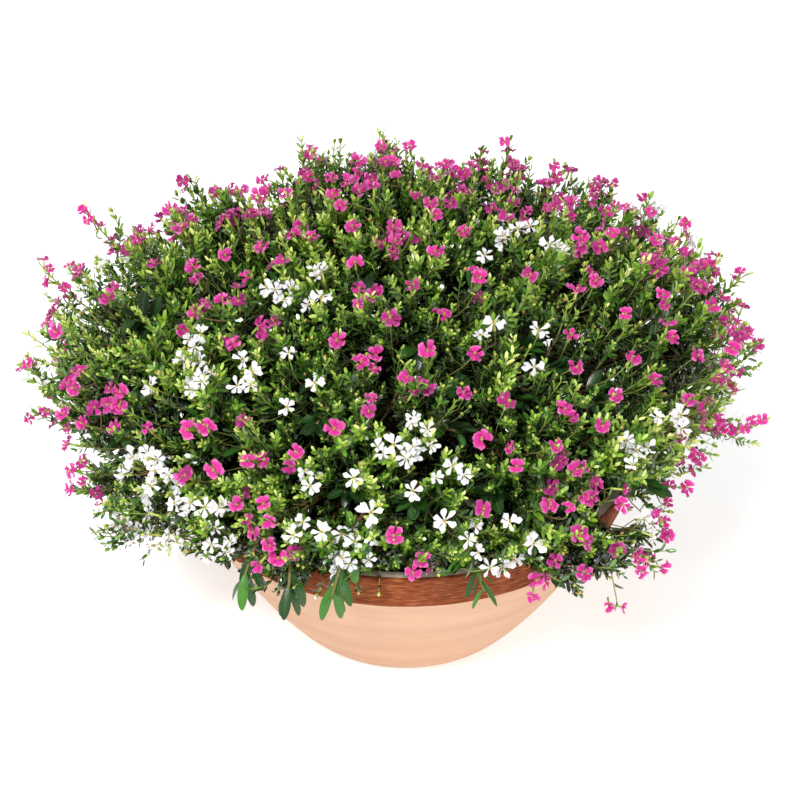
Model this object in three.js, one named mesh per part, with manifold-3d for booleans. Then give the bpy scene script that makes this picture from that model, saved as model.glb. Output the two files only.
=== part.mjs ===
// Potted mexican heather: a low terracotta bowl of soil with seven flowering plants that merge into one mound.
// Millimetres, Z up, the bowl's foot on z = 0, its axis on the Z axis, the side shown towards -Y.
import * as THREE from "three";
import Module from "manifold-3d";

const wasm = await Module();
wasm.setup();

// Bowl
const RIM_RADIUS = 150;
const BOWL_HEIGHT = 132;
const FOOT_RADIUS = 71;
const BAND_BOTTOM = 106;
const BAND_STEP = 1.4;
const BAND_RADIUS = 144;
const BODY_CURVE = 0.78;
const WALL = 9.5;
const FLOOR = 10;
const BOWL_SIDES = 40;
const DRAIN = { radius: 5.5, from_axis: 36, count: 3, sides: 10 };

// Soil
const SOIL_MIDDLE = 122;
const SOIL_EDGE = 118;
const SEAT = 0.35;

// Mound of flowers: an ellipsoid about its centre, made lobed by the shares below
const CENTRE_Z = 125;
const MOUND_WIDE = 235;
const MOUND_HIGH = 178;
const LOW_LOBES = [0.88, 0.95, 0.98, 0.99, 1.0, 1.0, 1.0, 0.99, 1.0, 1.02, 0.93, 0.86, 0.78, 0.7, 0.69, 0.8, 0.84, 0.8];
const MID_LOBES = [1.11, 1.09, 1.11, 0.9, 0.97, 1.15, 1.17, 0.92, 0.92, 0.94, 0.95, 0.96];
const HIGH_LOBES = [1.05, 1.0, 1.05, 0.93, 0.99, 0.99];
const TOP_LOBE = 1.0;
const LOBE_TILTS = [6, 34, 62];
const DROOP = [8, 12, 15, 16, 16, 14, 10, 15, 20, 8, 20, 7];
const DROOP_FROM = 150;
const DROOP_OVER = 90;

// Blooms
const BLOOM_COUNT = 340;
const LOWEST = 0.09;
const PETALS = 5;
const GOLDEN = Math.PI * (3 - Math.sqrt(5));
const BLOOM_RADIUS = 9;
const WHITE_RADIUS = 8.6;
const SPRAY_COUNT = 50;
const WHITE_SPREAD = 9.5;
// Bearings (azimuth, height angle in degrees) of the white sprays
const WHITE_SPRAYS = [
  [212, 36], [212, 15], [228, 11], [269, 29], [255, 19], [339, 66], [307, 52], [323, 19], [285, 13],
  [223, 62], [236, 44], [35, 30], [75, 18], [105, 42], [150, 16],
];

// Plants: bearings of the seven, with the middle one first
const PLANTS = [[0, 90], [15, 26], [75, 26], [135, 26], [195, 26], [255, 26], [315, 26]];
const CORE_SHARE = 0.78;
const FORK_SHARE = 0.86;
const CORE_LOWEST = 133;
const TRUNK_RADIUS = 4.2;
const TRUNK_FOOT = 92;
const TUFT_RADIUS = 5.5;
const SHOOT_COUNT = 16;
const TUFT_COUNT = 94;

function draws(seed) {
  let s = seed >>> 0;
  return () => {
    s = (s + 0x6d2b79f5) >>> 0;
    let t = s;
    t = Math.imul(t ^ (t >>> 15), t | 1);
    t ^= t + Math.imul(t ^ (t >>> 7), t | 61);
    return ((t ^ (t >>> 14)) >>> 0) / 4294967296;
  };
}
const V = (x, y, z) => new THREE.Vector3(x, y, z);
const rad = (d) => (d * Math.PI) / 180;
const CENTRE = V(0, 0, CENTRE_Z);
const UP = V(0, 0, 1);
const bearing = ([az, el]) => V(Math.cos(rad(el)) * Math.cos(rad(az)), Math.cos(rad(el)) * Math.sin(rad(az)), Math.sin(rad(el)));

function ease(t) {
  const c = Math.min(Math.max(t, 0), 1);
  return c * c * (3 - 2 * c);
}
function around(list, phi) {
  const n = list.length;
  const t = ((((phi / (2 * Math.PI)) * n) % n) + n) % n;
  const i = Math.floor(t);
  const f = ease(t - i);
  return list[i % n] * (1 - f) + list[(i + 1) % n] * f;
}
function lobe(tilt, phi) {
  const [low, mid, high] = LOBE_TILTS.map(rad);
  const a = around(LOW_LOBES, phi);
  const b = around(MID_LOBES, phi);
  const c = around(HIGH_LOBES, phi);
  if (tilt < mid) return a + (b - a) * ease((tilt - low) / (mid - low));
  if (tilt < high) return b + (c - b) * ease((tilt - mid) / (high - mid));
  return c + (TOP_LOBE - c) * ease((tilt - high) / (Math.PI / 2 - high));
}
// The mound's surface point, measured from its centre, before the droop
function onMound(tilt, phi) {
  const f = lobe(tilt, phi);
  return V(MOUND_WIDE * Math.cos(tilt) * Math.cos(phi) * f, MOUND_WIDE * Math.cos(tilt) * Math.sin(phi) * f, MOUND_HIGH * Math.sin(tilt) * f);
}
function reach(d) {
  const tilt = Math.atan2(d.z / MOUND_HIGH, Math.hypot(d.x, d.y) / MOUND_WIDE);
  return onMound(tilt, Math.atan2(d.y, d.x)).length();
}
// What hangs past the rim droops: each point outside DROOP_FROM is lowered
function drooped(p) {
  const out = Math.hypot(p.x, p.y);
  return V(p.x, p.y, p.z - around(DROOP, Math.atan2(p.y, p.x)) * ease((out - DROOP_FROM) / DROOP_OVER));
}
function basis(axis) {
  const e1 = Math.abs(axis.z) < 0.9 ? UP.clone().cross(axis).normalize() : V(1, 0, 0).cross(axis).normalize();
  return [e1, axis.clone().cross(e1).normalize()];
}

// A growing closed mesh: points, and faces as triples of point numbers
class Body {
  constructor() {
    this.points = [];
    this.faces = [];
  }
  add(p) {
    this.points.push(p);
    return this.points.length - 1;
  }
  face(a, b, c) {
    this.faces.push([a, b, c]);
  }
  // Walls between two loops of the same length
  walls(low, high) {
    const n = low.length;
    for (let i = 0; i < n; i++) {
      const j = (i + 1) % n;
      this.face(low[i], low[j], high[j]);
      this.face(low[i], high[j], high[i]);
    }
  }
  // Walls between two loops of different lengths about one axis
  stitch(low, high, middle, axis) {
    const [e1, e2] = basis(axis);
    const angle = (k) => {
      const d = this.points[k].clone().sub(middle);
      return Math.atan2(d.dot(e2), d.dot(e1));
    };
    const turn = (a) => ((a % (2 * Math.PI)) + 2 * Math.PI) % (2 * Math.PI);
    const start = angle(low[0]);
    let near = 0;
    let best = 9;
    high.forEach((k, i) => {
      const d = Math.abs(turn(angle(k) - start + Math.PI) - Math.PI);
      if (d < best) {
        best = d;
        near = i;
      }
    });
    const lowTurns = low.map((k, i) => (i ? turn(angle(k) - start) : 0)).concat(2 * Math.PI);
    const first = turn(angle(high[near]) - start + Math.PI) - Math.PI;
    const highTurns = high.map((_, i) => {
      const k = high[(near + i) % high.length];
      return i ? turn(angle(k) - angle(high[near])) + first : first;
    });
    highTurns.push(first + 2 * Math.PI);
    let i = 0;
    let j = 0;
    while (i < low.length || j < high.length) {
      const stepLow = j >= high.length || (i < low.length && lowTurns[i] + lowTurns[i + 1] <= highTurns[j] + highTurns[j + 1]);
      const a = low[i % low.length];
      const b = high[(near + j) % high.length];
      if (stepLow) {
        this.face(a, low[(i + 1) % low.length], b);
        i++;
      } else {
        this.face(a, high[(near + j + 1) % high.length], b);
        j++;
      }
    }
  }
  mesh(name, look) {
    const flat = [];
    for (const f of this.faces) for (const k of f) flat.push(this.points[k].x, this.points[k].y, this.points[k].z);
    return meshOf(name, flat, look);
  }
}
function meshOf(name, flat, look) {
  const g = new THREE.BufferGeometry();
  g.setAttribute("position", new THREE.Float32BufferAttribute(flat, 3));
  g.computeVertexNormals();
  const m = new THREE.Mesh(g, new THREE.MeshStandardMaterial({ flatShading: true, ...look }));
  m.name = name;
  return m;
}

const LOOKS = {
  clay: { color: 0xe0aa84, roughness: 0.9, metalness: 0 },
  soil: { color: 0x3a2a20, roughness: 1, metalness: 0 },
  leaf: { color: 0x5f9a2c, roughness: 0.6, metalness: 0 },
  magenta: { color: 0xd8309c, roughness: 0.6, metalness: 0 },
  white: { color: 0xf3eef2, roughness: 0.6, metalness: 0 },
};

// Solids for the boolean steps
function solidOf(flat) {
  const keys = new Map();
  const verts = [];
  const tris = [];
  for (let i = 0; i < flat.length; i += 3) {
    const key = flat.slice(i, i + 3).map((c) => Math.round(c * 1e4)).join();
    if (!keys.has(key)) {
      keys.set(key, verts.length / 3);
      verts.push(flat[i], flat[i + 1], flat[i + 2]);
    }
    tris.push(keys.get(key));
  }
  const kept = [];
  for (let i = 0; i < tris.length; i += 3)
    if (tris[i] !== tris[i + 1] && tris[i + 1] !== tris[i + 2] && tris[i] !== tris[i + 2]) kept.push(tris[i], tris[i + 1], tris[i + 2]);
  return new wasm.Manifold(new wasm.Mesh({ numProp: 3, vertProperties: new Float32Array(verts), triVerts: new Uint32Array(kept) }));
}
function flatOf(solid) {
  const m = solid.getMesh();
  const flat = [];
  for (const k of m.triVerts) flat.push(...m.vertProperties.subarray(k * m.numProp, k * m.numProp + 3));
  return flat;
}
function lathe(profile, sides) {
  const g = new THREE.LatheGeometry(profile.map(([r, z]) => new THREE.Vector2(r, z)), sides);
  g.rotateX(Math.PI / 2);
  return solidOf(Array.from(g.toNonIndexed().attributes.position.array));
}
function post(x, y, low, high, radius, sides) {
  return lathe([[0, low], [radius, low], [radius, high], [0, high]], sides).translate([x, y, 0]);
}

// The bowl's outer radius at a height
function bodyRadius(z) {
  return FOOT_RADIUS + (BAND_RADIUS - BAND_STEP - FOOT_RADIUS) * Math.pow(z / BAND_BOTTOM, BODY_CURVE);
}
function innerRadius(z) {
  return (z < BAND_BOTTOM ? bodyRadius(z) : BAND_RADIUS + ((RIM_RADIUS - BAND_RADIUS) * (z - BAND_BOTTOM)) / (BOWL_HEIGHT - BAND_BOTTOM)) - WALL;
}
const INNER_HEIGHTS = [FLOOR, 40, 84, SOIL_EDGE];

function bowl() {
  const outer = [[0, 0], [FOOT_RADIUS - 1.5, 0], [FOOT_RADIUS, 1.5]];
  for (const z of [14, 40, 72, BAND_BOTTOM]) outer.push([bodyRadius(z), z]);
  outer.push([BAND_RADIUS, BAND_BOTTOM], [RIM_RADIUS, BOWL_HEIGHT - 2], [RIM_RADIUS - 1.5, BOWL_HEIGHT]);
  outer.push([RIM_RADIUS - WALL + 1.5, BOWL_HEIGHT], [RIM_RADIUS - WALL, BOWL_HEIGHT - 2]);
  for (const z of [...INNER_HEIGHTS].reverse()) outer.push([innerRadius(z), z]);
  outer.push([0, FLOOR]);
  let solid = lathe(outer, BOWL_SIDES);
  for (let i = 0; i < DRAIN.count; i++) {
    const a = (2 * Math.PI * (i + 0.5)) / DRAIN.count;
    solid = solid.subtract(post(DRAIN.from_axis * Math.cos(a), DRAIN.from_axis * Math.sin(a), -1, FLOOR + 1, DRAIN.radius, DRAIN.sides));
  }
  return meshOf("bowl", flatOf(solid), LOOKS.clay);
}

const plantBearings = PLANTS.map(bearing);
// Each plant's middle, and its trunk straight below it
const plantMiddles = plantBearings.map((d, k) => CENTRE.clone().add(d.clone().multiplyScalar((k ? 0.4 : 0.38) * reach(d))));

function soil() {
  const profile = [[0, FLOOR + SEAT]];
  for (const z of INNER_HEIGHTS) profile.push([innerRadius(z) - SEAT, z === FLOOR ? z + SEAT : z]);
  profile.push([70, SOIL_MIDDLE - 1], [0, SOIL_MIDDLE]);
  let solid = lathe(profile, BOWL_SIDES);
  for (const p of plantMiddles) solid = solid.subtract(post(p.x, p.y, TRUNK_FOOT - SEAT, SOIL_MIDDLE + 5, TRUNK_RADIUS + SEAT, 6));
  return meshOf("soil", flatOf(solid), LOOKS.soil);
}

// A core: a lumpy ball about the plant's middle, kept inside the plant's own share of the mound
function core(k) {
  const d = plantBearings[k];
  const middle = plantMiddles[k];
  const ball = new THREE.IcosahedronGeometry(1, 1);
  const at = ball.attributes.position.array;
  const pick = draws(700 + k);
  const lumps = new Map();
  const side = V(d.x, d.y, 0).normalize();
  const inside = (p, lump) => {
    const q = p.clone().sub(CENTRE);
    if (q.length() > CORE_SHARE * lump * reach(q)) return false;
    if (p.z < CORE_LOWEST) return false;
    if (Math.hypot(p.x, p.y) > 126 && p.z < 139) return false;
    if (k && q.dot(side) < 9) return false;
    return plantBearings.every((o, j) => j === k || q.dot(d.clone().sub(o).normalize()) > 1.2);
  };
  const flat = [];
  for (let i = 0; i < at.length; i += 3) {
    const u = V(at[i], at[i + 1], at[i + 2]).normalize();
    const key = [u.x, u.y, u.z].map((c) => Math.round(c * 1000)).join();
    if (!lumps.has(key)) {
      const lump = 0.86 + 0.18 * pick();
      let low = 0;
      let high = 160;
      for (let n = 0; n < 30; n++) {
        const t = (low + high) / 2;
        if (inside(middle.clone().addScaledVector(u, t), lump)) low = t;
        else high = t;
      }
      lumps.set(key, middle.clone().addScaledVector(u, low));
    }
    flat.push(...lumps.get(key).toArray());
  }
  const trunk = post(middle.x, middle.y, TRUNK_FOOT, middle.z, TRUNK_RADIUS, 6);
  return solidOf(flat).add(trunk);
}

// Bloom places
const blooms = [];
for (let i = 0; i < BLOOM_COUNT; i++) {
  const pick = draws(1000 + i);
  const u = (i + 0.5) / BLOOM_COUNT;
  const tilt = Math.asin(LOWEST + (1 - LOWEST) * u);
  const phi = i * GOLDEN;
  const p = onMound(tilt, phi).multiplyScalar(0.93 + 0.09 * pick());
  p.add(V(pick() - 0.5, pick() - 0.5, pick() - 0.5).multiplyScalar(7));
  p.z = Math.max(p.z, 17);
  const out = V(p.x / MOUND_WIDE ** 2, p.y / MOUND_WIDE ** 2, p.z / MOUND_HIGH ** 2).normalize();
  const axis = out.multiplyScalar(0.8).add(V(0, 0, 0.25)).add(V(pick() - 0.5, pick() - 0.5, pick() - 0.5).multiplyScalar(0.7)).normalize();
  blooms.push({ from: p, at: drooped(p.clone().add(CENTRE)), axis, size: 0.9 + 0.2 * pick(), turn: 2 * Math.PI * pick() });
}

// Sprays: white ones keep their bearings, magenta ones spread out between them.
// A seed is the middle bearing of one spray
const seeds = WHITE_SPRAYS.map(bearing);
const ways = blooms.map((b) => b.from.clone().normalize());
while (seeds.length < SPRAY_COUNT) {
  let far = -1;
  let worst = 9;
  ways.forEach((w, i) => {
    const near = Math.max(...seeds.map((s) => s.dot(w)));
    if (near < worst) {
      worst = near;
      far = i;
    }
  });
  seeds.push(ways[far].clone());
}
// The spray whose bearing is nearest; a white one takes only the flowers close round it
function nearest(w) {
  let best = -1;
  seeds.forEach((s, j) => {
    if (j < WHITE_SPRAYS.length && s.dot(w) < Math.cos(rad(WHITE_SPREAD))) return;
    if (best < 0 || s.dot(w) > seeds[best].dot(w)) best = j;
  });
  return best;
}
for (let round = 0; round < 12; round++) {
  const sums = seeds.map(() => V(0, 0, 0));
  ways.forEach((w) => sums[nearest(w)].add(w));
  sums.forEach((s, j) => {
    if (j >= WHITE_SPRAYS.length && s.length() > 0) seeds[j].copy(s.normalize());
  });
}
const sprays = seeds.map((s, j) => ({ white: j < WHITE_SPRAYS.length, members: [] }));
ways.forEach((w, i) => sprays[nearest(w)].members.push(i));

// Filled room, as rods with a radius, so that leaves keep clear of it
const rods = [];
function gap(a, b, c, d) {
  const u = b.clone().sub(a);
  const v = d.clone().sub(c);
  const w = a.clone().sub(c);
  const uu = u.dot(u);
  const uv = u.dot(v);
  const vv = v.dot(v);
  const uw = u.dot(w);
  const vw = v.dot(w);
  const det = uu * vv - uv * uv;
  let s = det > 1e-9 ? Math.min(Math.max((uv * vw - vv * uw) / det, 0), 1) : 0;
  let t = (uv * s + vw) / Math.max(vv, 1e-9);
  t = Math.min(Math.max(t, 0), 1);
  s = Math.min(Math.max((uv * t - uw) / Math.max(uu, 1e-9), 0), 1);
  return w.addScaledVector(u, s).addScaledVector(v, -t).length();
}
function isClear(a, b, r, owner) {
  for (const rod of rods) {
    if (rod.owner === owner) continue;
    if (gap(a, b, rod.a, rod.b) < r + rod.r + 0.6) return false;
  }
  return true;
}
// Outside the bowl's wall and rim
function offBowl(a, b, r) {
  for (let t = 0; t <= 1.001; t += 0.125) {
    const p = a.clone().lerp(b, t);
    if (Math.hypot(p.x, p.y) < RIM_RADIUS + 3 + r && p.z < BOWL_HEIGHT + 1.5 + r) return false;
    if (p.z < 6 + r) return false;
  }
  return true;
}

const cores = PLANTS.map((_, k) => flatOf(core(k)));
const coreFaces = [];
for (const flat of cores) {
  for (let i = 0; i < flat.length; i += 9) {
    const corners = [0, 3, 6].map((o) => V(flat[i + o], flat[i + o + 1], flat[i + o + 2]));
    coreFaces.push({ corners, box: new THREE.Box3().setFromPoints(corners).expandByScalar(0.01) });
  }
}
function firstHit(from, to) {
  const ray = new THREE.Ray(from, to.clone().sub(from).normalize());
  let best = null;
  cores.forEach((flat, k) => {
    for (let i = 0; i < flat.length; i += 9) {
      const [a, b, c] = [0, 3, 6].map((o) => V(flat[i + o], flat[i + o + 1], flat[i + o + 2]));
      const hit = ray.intersectTriangle(a, b, c, true, V(0, 0, 0));
      if (hit && (!best || hit.distanceTo(from) < best.distance))
        best = { distance: hit.distanceTo(from), at: hit, plant: k, out: b.sub(a).cross(c.sub(a)).normalize() };
    }
  });
  return best;
}

function bloomOn(body, facet, bloom, white) {
  const [p0, p1, p2] = facet.map((k) => body.points[k]);
  const middle = p0.clone().add(p1).add(p2).divideScalar(3);
  const out = p1.clone().sub(p0).cross(p2.clone().sub(p0)).normalize();
  const turn = new THREE.Quaternion().setFromUnitVectors(out, bloom.axis);
  const foot = bloom.at.clone().addScaledVector(bloom.axis, -4.6);
  const neck = [p0, p1, p2].map((p) => body.add(p.clone().sub(middle).normalize().applyQuaternion(turn).multiplyScalar(0.95).add(foot)));
  body.walls(facet, neck);
  const [e1, e2] = basis(bloom.axis);
  const radius = (white ? WHITE_RADIUS : BLOOM_RADIUS) * bloom.size;
  const rim = [];
  for (let i = 0; i < 2 * PETALS; i++) {
    const a = bloom.turn + (Math.PI * i) / PETALS;
    const r = i % 2 ? radius * (white ? 0.34 : 0.46) : radius;
    const lift = i % 2 ? 0.5 : 1.6;
    rim.push(body.add(bloom.at.clone().addScaledVector(e1, r * Math.cos(a)).addScaledVector(e2, r * Math.sin(a)).addScaledVector(bloom.axis, lift)));
  }
  body.stitch(neck, rim, foot, bloom.axis);
  // petals, then the flat middle between the notches
  for (let i = 0; i < rim.length; i += 2) body.face(rim[(i + rim.length - 1) % rim.length], rim[i], rim[i + 1]);
  for (let i = 3; i + 2 < rim.length; i += 2) body.face(rim[1], rim[i], rim[i + 2]);
  return foot;
}

// How many edges of a body pass through its own faces, where either is newer than a given face
function crossings(body, newer = 0) {
  const boxes = body.faces.map((f) => new THREE.Box3().setFromPoints(f.map((k) => body.points[k])));
  let count = 0;
  const hit = V(0, 0, 0);
  body.faces.forEach((f, m) => {
    for (let i = 0; i < 3; i++) {
      const [a, b] = [f[i], f[(i + 1) % 3]];
      if (a > b) continue;
      const from = body.points[a];
      const to = body.points[b];
      const box = new THREE.Box3().setFromPoints([from, to]);
      const ray = new THREE.Ray(from, to.clone().sub(from).normalize());
      const long = from.distanceTo(to);
      body.faces.forEach((g, j) => {
        if (m < newer && j < newer) return;
        if (g.includes(a) || g.includes(b) || !box.intersectsBox(boxes[j])) return;
        if (ray.intersectTriangle(...g.map((k) => body.points[k]), false, hit) && hit.distanceTo(from) < long) count++;
      });
    }
  });
  return count;
}

// Whether a line passes through a face of any core
function meetsCore(a, b) {
  const long = a.distanceTo(b);
  const ray = new THREE.Ray(a, b.clone().sub(a).normalize());
  const hit = V(0, 0, 0);
  for (const { corners, box } of coreFaces) {
    if (!ray.intersectsBox(box)) continue;
    if (ray.intersectTriangle(...corners, false, hit) && hit.distanceTo(a) < long) return true;
  }
  return false;
}
// How many edges of a body pass through a core
function coreCrossings(body) {
  const edges = body.faces.flatMap((f) => [0, 1, 2].map((i) => [f[i], f[(i + 1) % 3]])).filter(([a, b]) => a < b);
  return edges.filter(([a, b]) => meetsCore(body.points[a], body.points[b])).length;
}

// A forked stalk that stands on a core and carries the blooms of one spray
function sprayBody(members, group, name, share, swing, nudge) {
  const body = new Body();
  const rodsHere = [];
  const way = members.reduce((s, b) => s.add(b.from.clone().normalize()), V(0, 0, 0)).normalize();
  const mean = members.reduce((s, b) => s + b.from.length(), 0) / members.length;
  const fork = drooped(CENTRE.clone().addScaledVector(way, share * mean));
  const [n1, n2] = basis(way);
  fork.addScaledVector(n1, nudge[0]).addScaledVector(n2, nudge[1]);
  if (fork.z < 142) fork.z = 142;
  let hit = firstHit(fork, CENTRE);
  for (let t = 1; t < 8 && (!hit || hit.out.dot(way) < 0.3 || hit.distance > 50); t++) {
    const near = plantMiddles.map((p) => p.distanceTo(fork));
    const k = near.indexOf(Math.min(...near));
    hit = firstHit(fork, CENTRE.clone().lerp(plantMiddles[k], t / 7)) || hit;
  }
  if (!hit) throw new Error(name + " finds no plant to sit on");
  const seat = hit.at.clone().addScaledVector(hit.out, SEAT);
  const [s1, s2] = basis(hit.out);
  const foot = [0, 1, 2].map((i) => {
    const a = (2 * Math.PI * i) / 3;
    return body.add(seat.clone().addScaledVector(s1, 1.7 * Math.cos(a)).addScaledVector(s2, 1.7 * Math.sin(a)));
  });
  body.face(foot[2], foot[1], foot[0]);
  const [e1, e2] = basis(way);
  const n = members.length;
  const sorted = members
    .map((b) => {
      const d = b.at.clone().sub(fork);
      return { bloom: b, angle: Math.atan2(d.dot(e2), d.dot(e1)) };
    })
    .sort((a, b) => a.angle - b.angle);
  let sx = 0;
  let sy = 0;
  sorted.forEach((s, i) => {
    sx += Math.cos(s.angle - (2 * Math.PI * i) / n);
    sy += Math.sin(s.angle - (2 * Math.PI * i) / n);
  });
  const sides = Math.max(3, n);
  const shift = Math.atan2(sy, sx) - Math.PI / n + swing;
  const wide = Math.max(2.4, 0.42 * n);
  const hub = Array.from({ length: sides }, (_, i) => {
    const a = shift + (2 * Math.PI * i) / sides;
    return body.add(fork.clone().addScaledVector(e1, wide * Math.cos(a)).addScaledVector(e2, wide * Math.sin(a)));
  });
  const tip = body.add(fork.clone().addScaledVector(way, 2.4));
  body.stitch(foot, hub, seat, fork.clone().sub(seat).normalize());
  rodsHere.push({ a: seat, b: fork, r: 2.2 });
  for (let i = n; i < sides; i++) body.face(hub[i], hub[(i + 1) % sides], tip);
  sorted.forEach((s, i) => {
    const neck = bloomOn(body, [hub[i], hub[(i + 1) % sides], tip], s.bloom, group.white);
    rodsHere.push({ a: fork, b: neck, r: 1.6, bloom: s.bloom });
    rodsHere.push({ a: neck, b: s.bloom.at, r: 9, bloom: s.bloom });
  });
  return { body, rodsHere };
}
// The same spray, forked where its stalks keep clear of each other and of the large leaves;
// a bloom that a large leaf leaves no room for is left out
const TRIES = [];
for (const nudge of [[0, 0], [5, 0], [-5, 0], [0, 5], [0, -5], [8, 8], [-8, 8], [8, -8], [-8, -8], [14, 0], [-14, 0], [0, 14], [0, -14]])
  for (const lower of [0, -0.03, 0.03, -0.06])
    for (const swing of [0, 0.3, -0.3, 0.6, -0.6]) TRIES.push([FORK_SHARE + lower, swing, nudge]);
function spray(group, name, owner) {
  let members = group.members.map((i) => blooms[i]).filter((b) => isClear(b.at, b.at.clone().addScaledVector(b.axis, 2), 6, owner));
  let best = null;
  for (let round = 0; round < 7; round++) {
    best = null;
    for (const [share, swing, nudge] of TRIES) {
      const tried = sprayBody(members, group, name, share, swing, nudge);
      tried.blocked = tried.rodsHere.filter((r) => !isClear(r.a, r.b, Math.min(r.r, 3), owner));
      tried.bad = crossings(tried.body) + 10 * tried.blocked.length;
      if (!tried.bad) tried.bad = coreCrossings(tried.body);
      if (!best || tried.bad < best.bad) best = tried;
      if (!best.bad) break;
    }
    const stuck = new Set(best.blocked.map((r) => r.bloom).filter(Boolean));
    if (!best.bad) break;
    if (!stuck.size) {
      const crowd = members.map((b) => Math.min(...members.filter((o) => o !== b).map((o) => o.at.distanceTo(b.at))));
      stuck.add(members[crowd.indexOf(Math.min(...crowd))]);
    }
    members = members.filter((b) => !stuck.has(b));
  }
  if (best.bad) throw new Error(name + " finds no clear shape");
  best.rodsHere.forEach((r) => rods.push({ ...r, owner }));
  return best.body.mesh(name, group.white ? LOOKS.white : LOOKS.magenta);
}

// A leaf raised from a small face: two long edges, a ridge, and a drooping end
function leafOn(body, base, way, length, width, thick) {
  const [a, b, p] = base.map((k) => body.points[k]);
  const root = a.clone().add(b).add(p).divideScalar(3);
  const side = b.clone().sub(a);
  side.addScaledVector(way, -side.dot(way)).normalize();
  const top = side.clone().cross(way).multiplyScalar(-1);
  if (top.dot(p.clone().sub(a.clone().lerp(b, 0.5))) < 0) top.multiplyScalar(-1);
  const mid = root.clone().addScaledVector(way, 0.45 * length);
  const ring = [
    body.add(mid.clone().addScaledVector(side, -width / 2)),
    body.add(mid.clone().addScaledVector(side, width / 2)),
    body.add(mid.clone().addScaledVector(top, thick)),
  ];
  body.walls(base, ring);
  const end = body.add(root.clone().addScaledVector(way, length));
  for (let i = 0; i < 3; i++) body.face(ring[i], ring[(i + 1) % 3], end);
}
// A plain narrow blade: its small face drawn out to a point
function bladeOn(body, base, at) {
  const end = body.add(at);
  for (let i = 0; i < 3; i++) body.face(base[i], base[(i + 1) % 3], end);
}
// A leaf that keeps clear of everything else, tried shorter before it is left out
function tryLeaf(body, k, base, lean, dir, size, kind, shootNumber, pick) {
  const at = base.reduce((s, n) => s.add(body.points[n]), V(0, 0, 0)).divideScalar(3);
  for (const share of [1, 0.8, 0.62]) {
    const way = lean.clone().multiplyScalar(0.7 + 0.5 * pick()).addScaledVector(dir, 1).add(V(0, 0, 0.1)).normalize();
    const length = share * size * (24 + 7 * pick());
    const width = (kind === "large" ? 0.27 : kind === "blade" ? 0.22 : 0.3) * length;
    const start = at.clone().addScaledVector(way, 3);
    const end = at.clone().addScaledVector(way, length);
    if (!isClear(start, end, width * 0.4, "plant" + k) || !offBowl(at, end, width * 0.4)) continue;
    if (body.leafRods.some((q) => gap(start, end, q[0], q[1]) < 2)) continue;
    if (body.stemRods.some((q) => q[2] !== shootNumber && gap(at, end, q[0], q[1]) < 3.4)) continue;
    const across = body.points[base[1]].clone().sub(body.points[base[0]]);
    across.addScaledVector(way, -across.dot(way)).setLength(width / 2 + 0.5);
    const middle = at.clone().addScaledVector(way, 0.45 * length);
    const beyond = at.clone().addScaledVector(way, length + 1.5);
    const low = at.clone().addScaledVector(way, 2.2);
    if (meetsCore(low, beyond) || meetsCore(low, middle.clone().add(across)) || meetsCore(low, middle.clone().sub(across))) continue;
    if (meetsCore(middle.clone().add(across), beyond) || meetsCore(middle.clone().sub(across), beyond)) continue;
    if (meetsCore(middle.clone().add(across), middle.clone().sub(across))) continue;
    if (kind === "blade") bladeOn(body, base, end);
    else leafOn(body, base, way, length, width, kind === "large" ? 1.3 : 1.0);
    rods.push({ a: at, b: end, r: width * 0.4, owner: "plant" + k });
    body.leafRods.push([at.clone().addScaledVector(way, 2.4), end]);
    return true;
  }
  return false;
}
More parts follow.
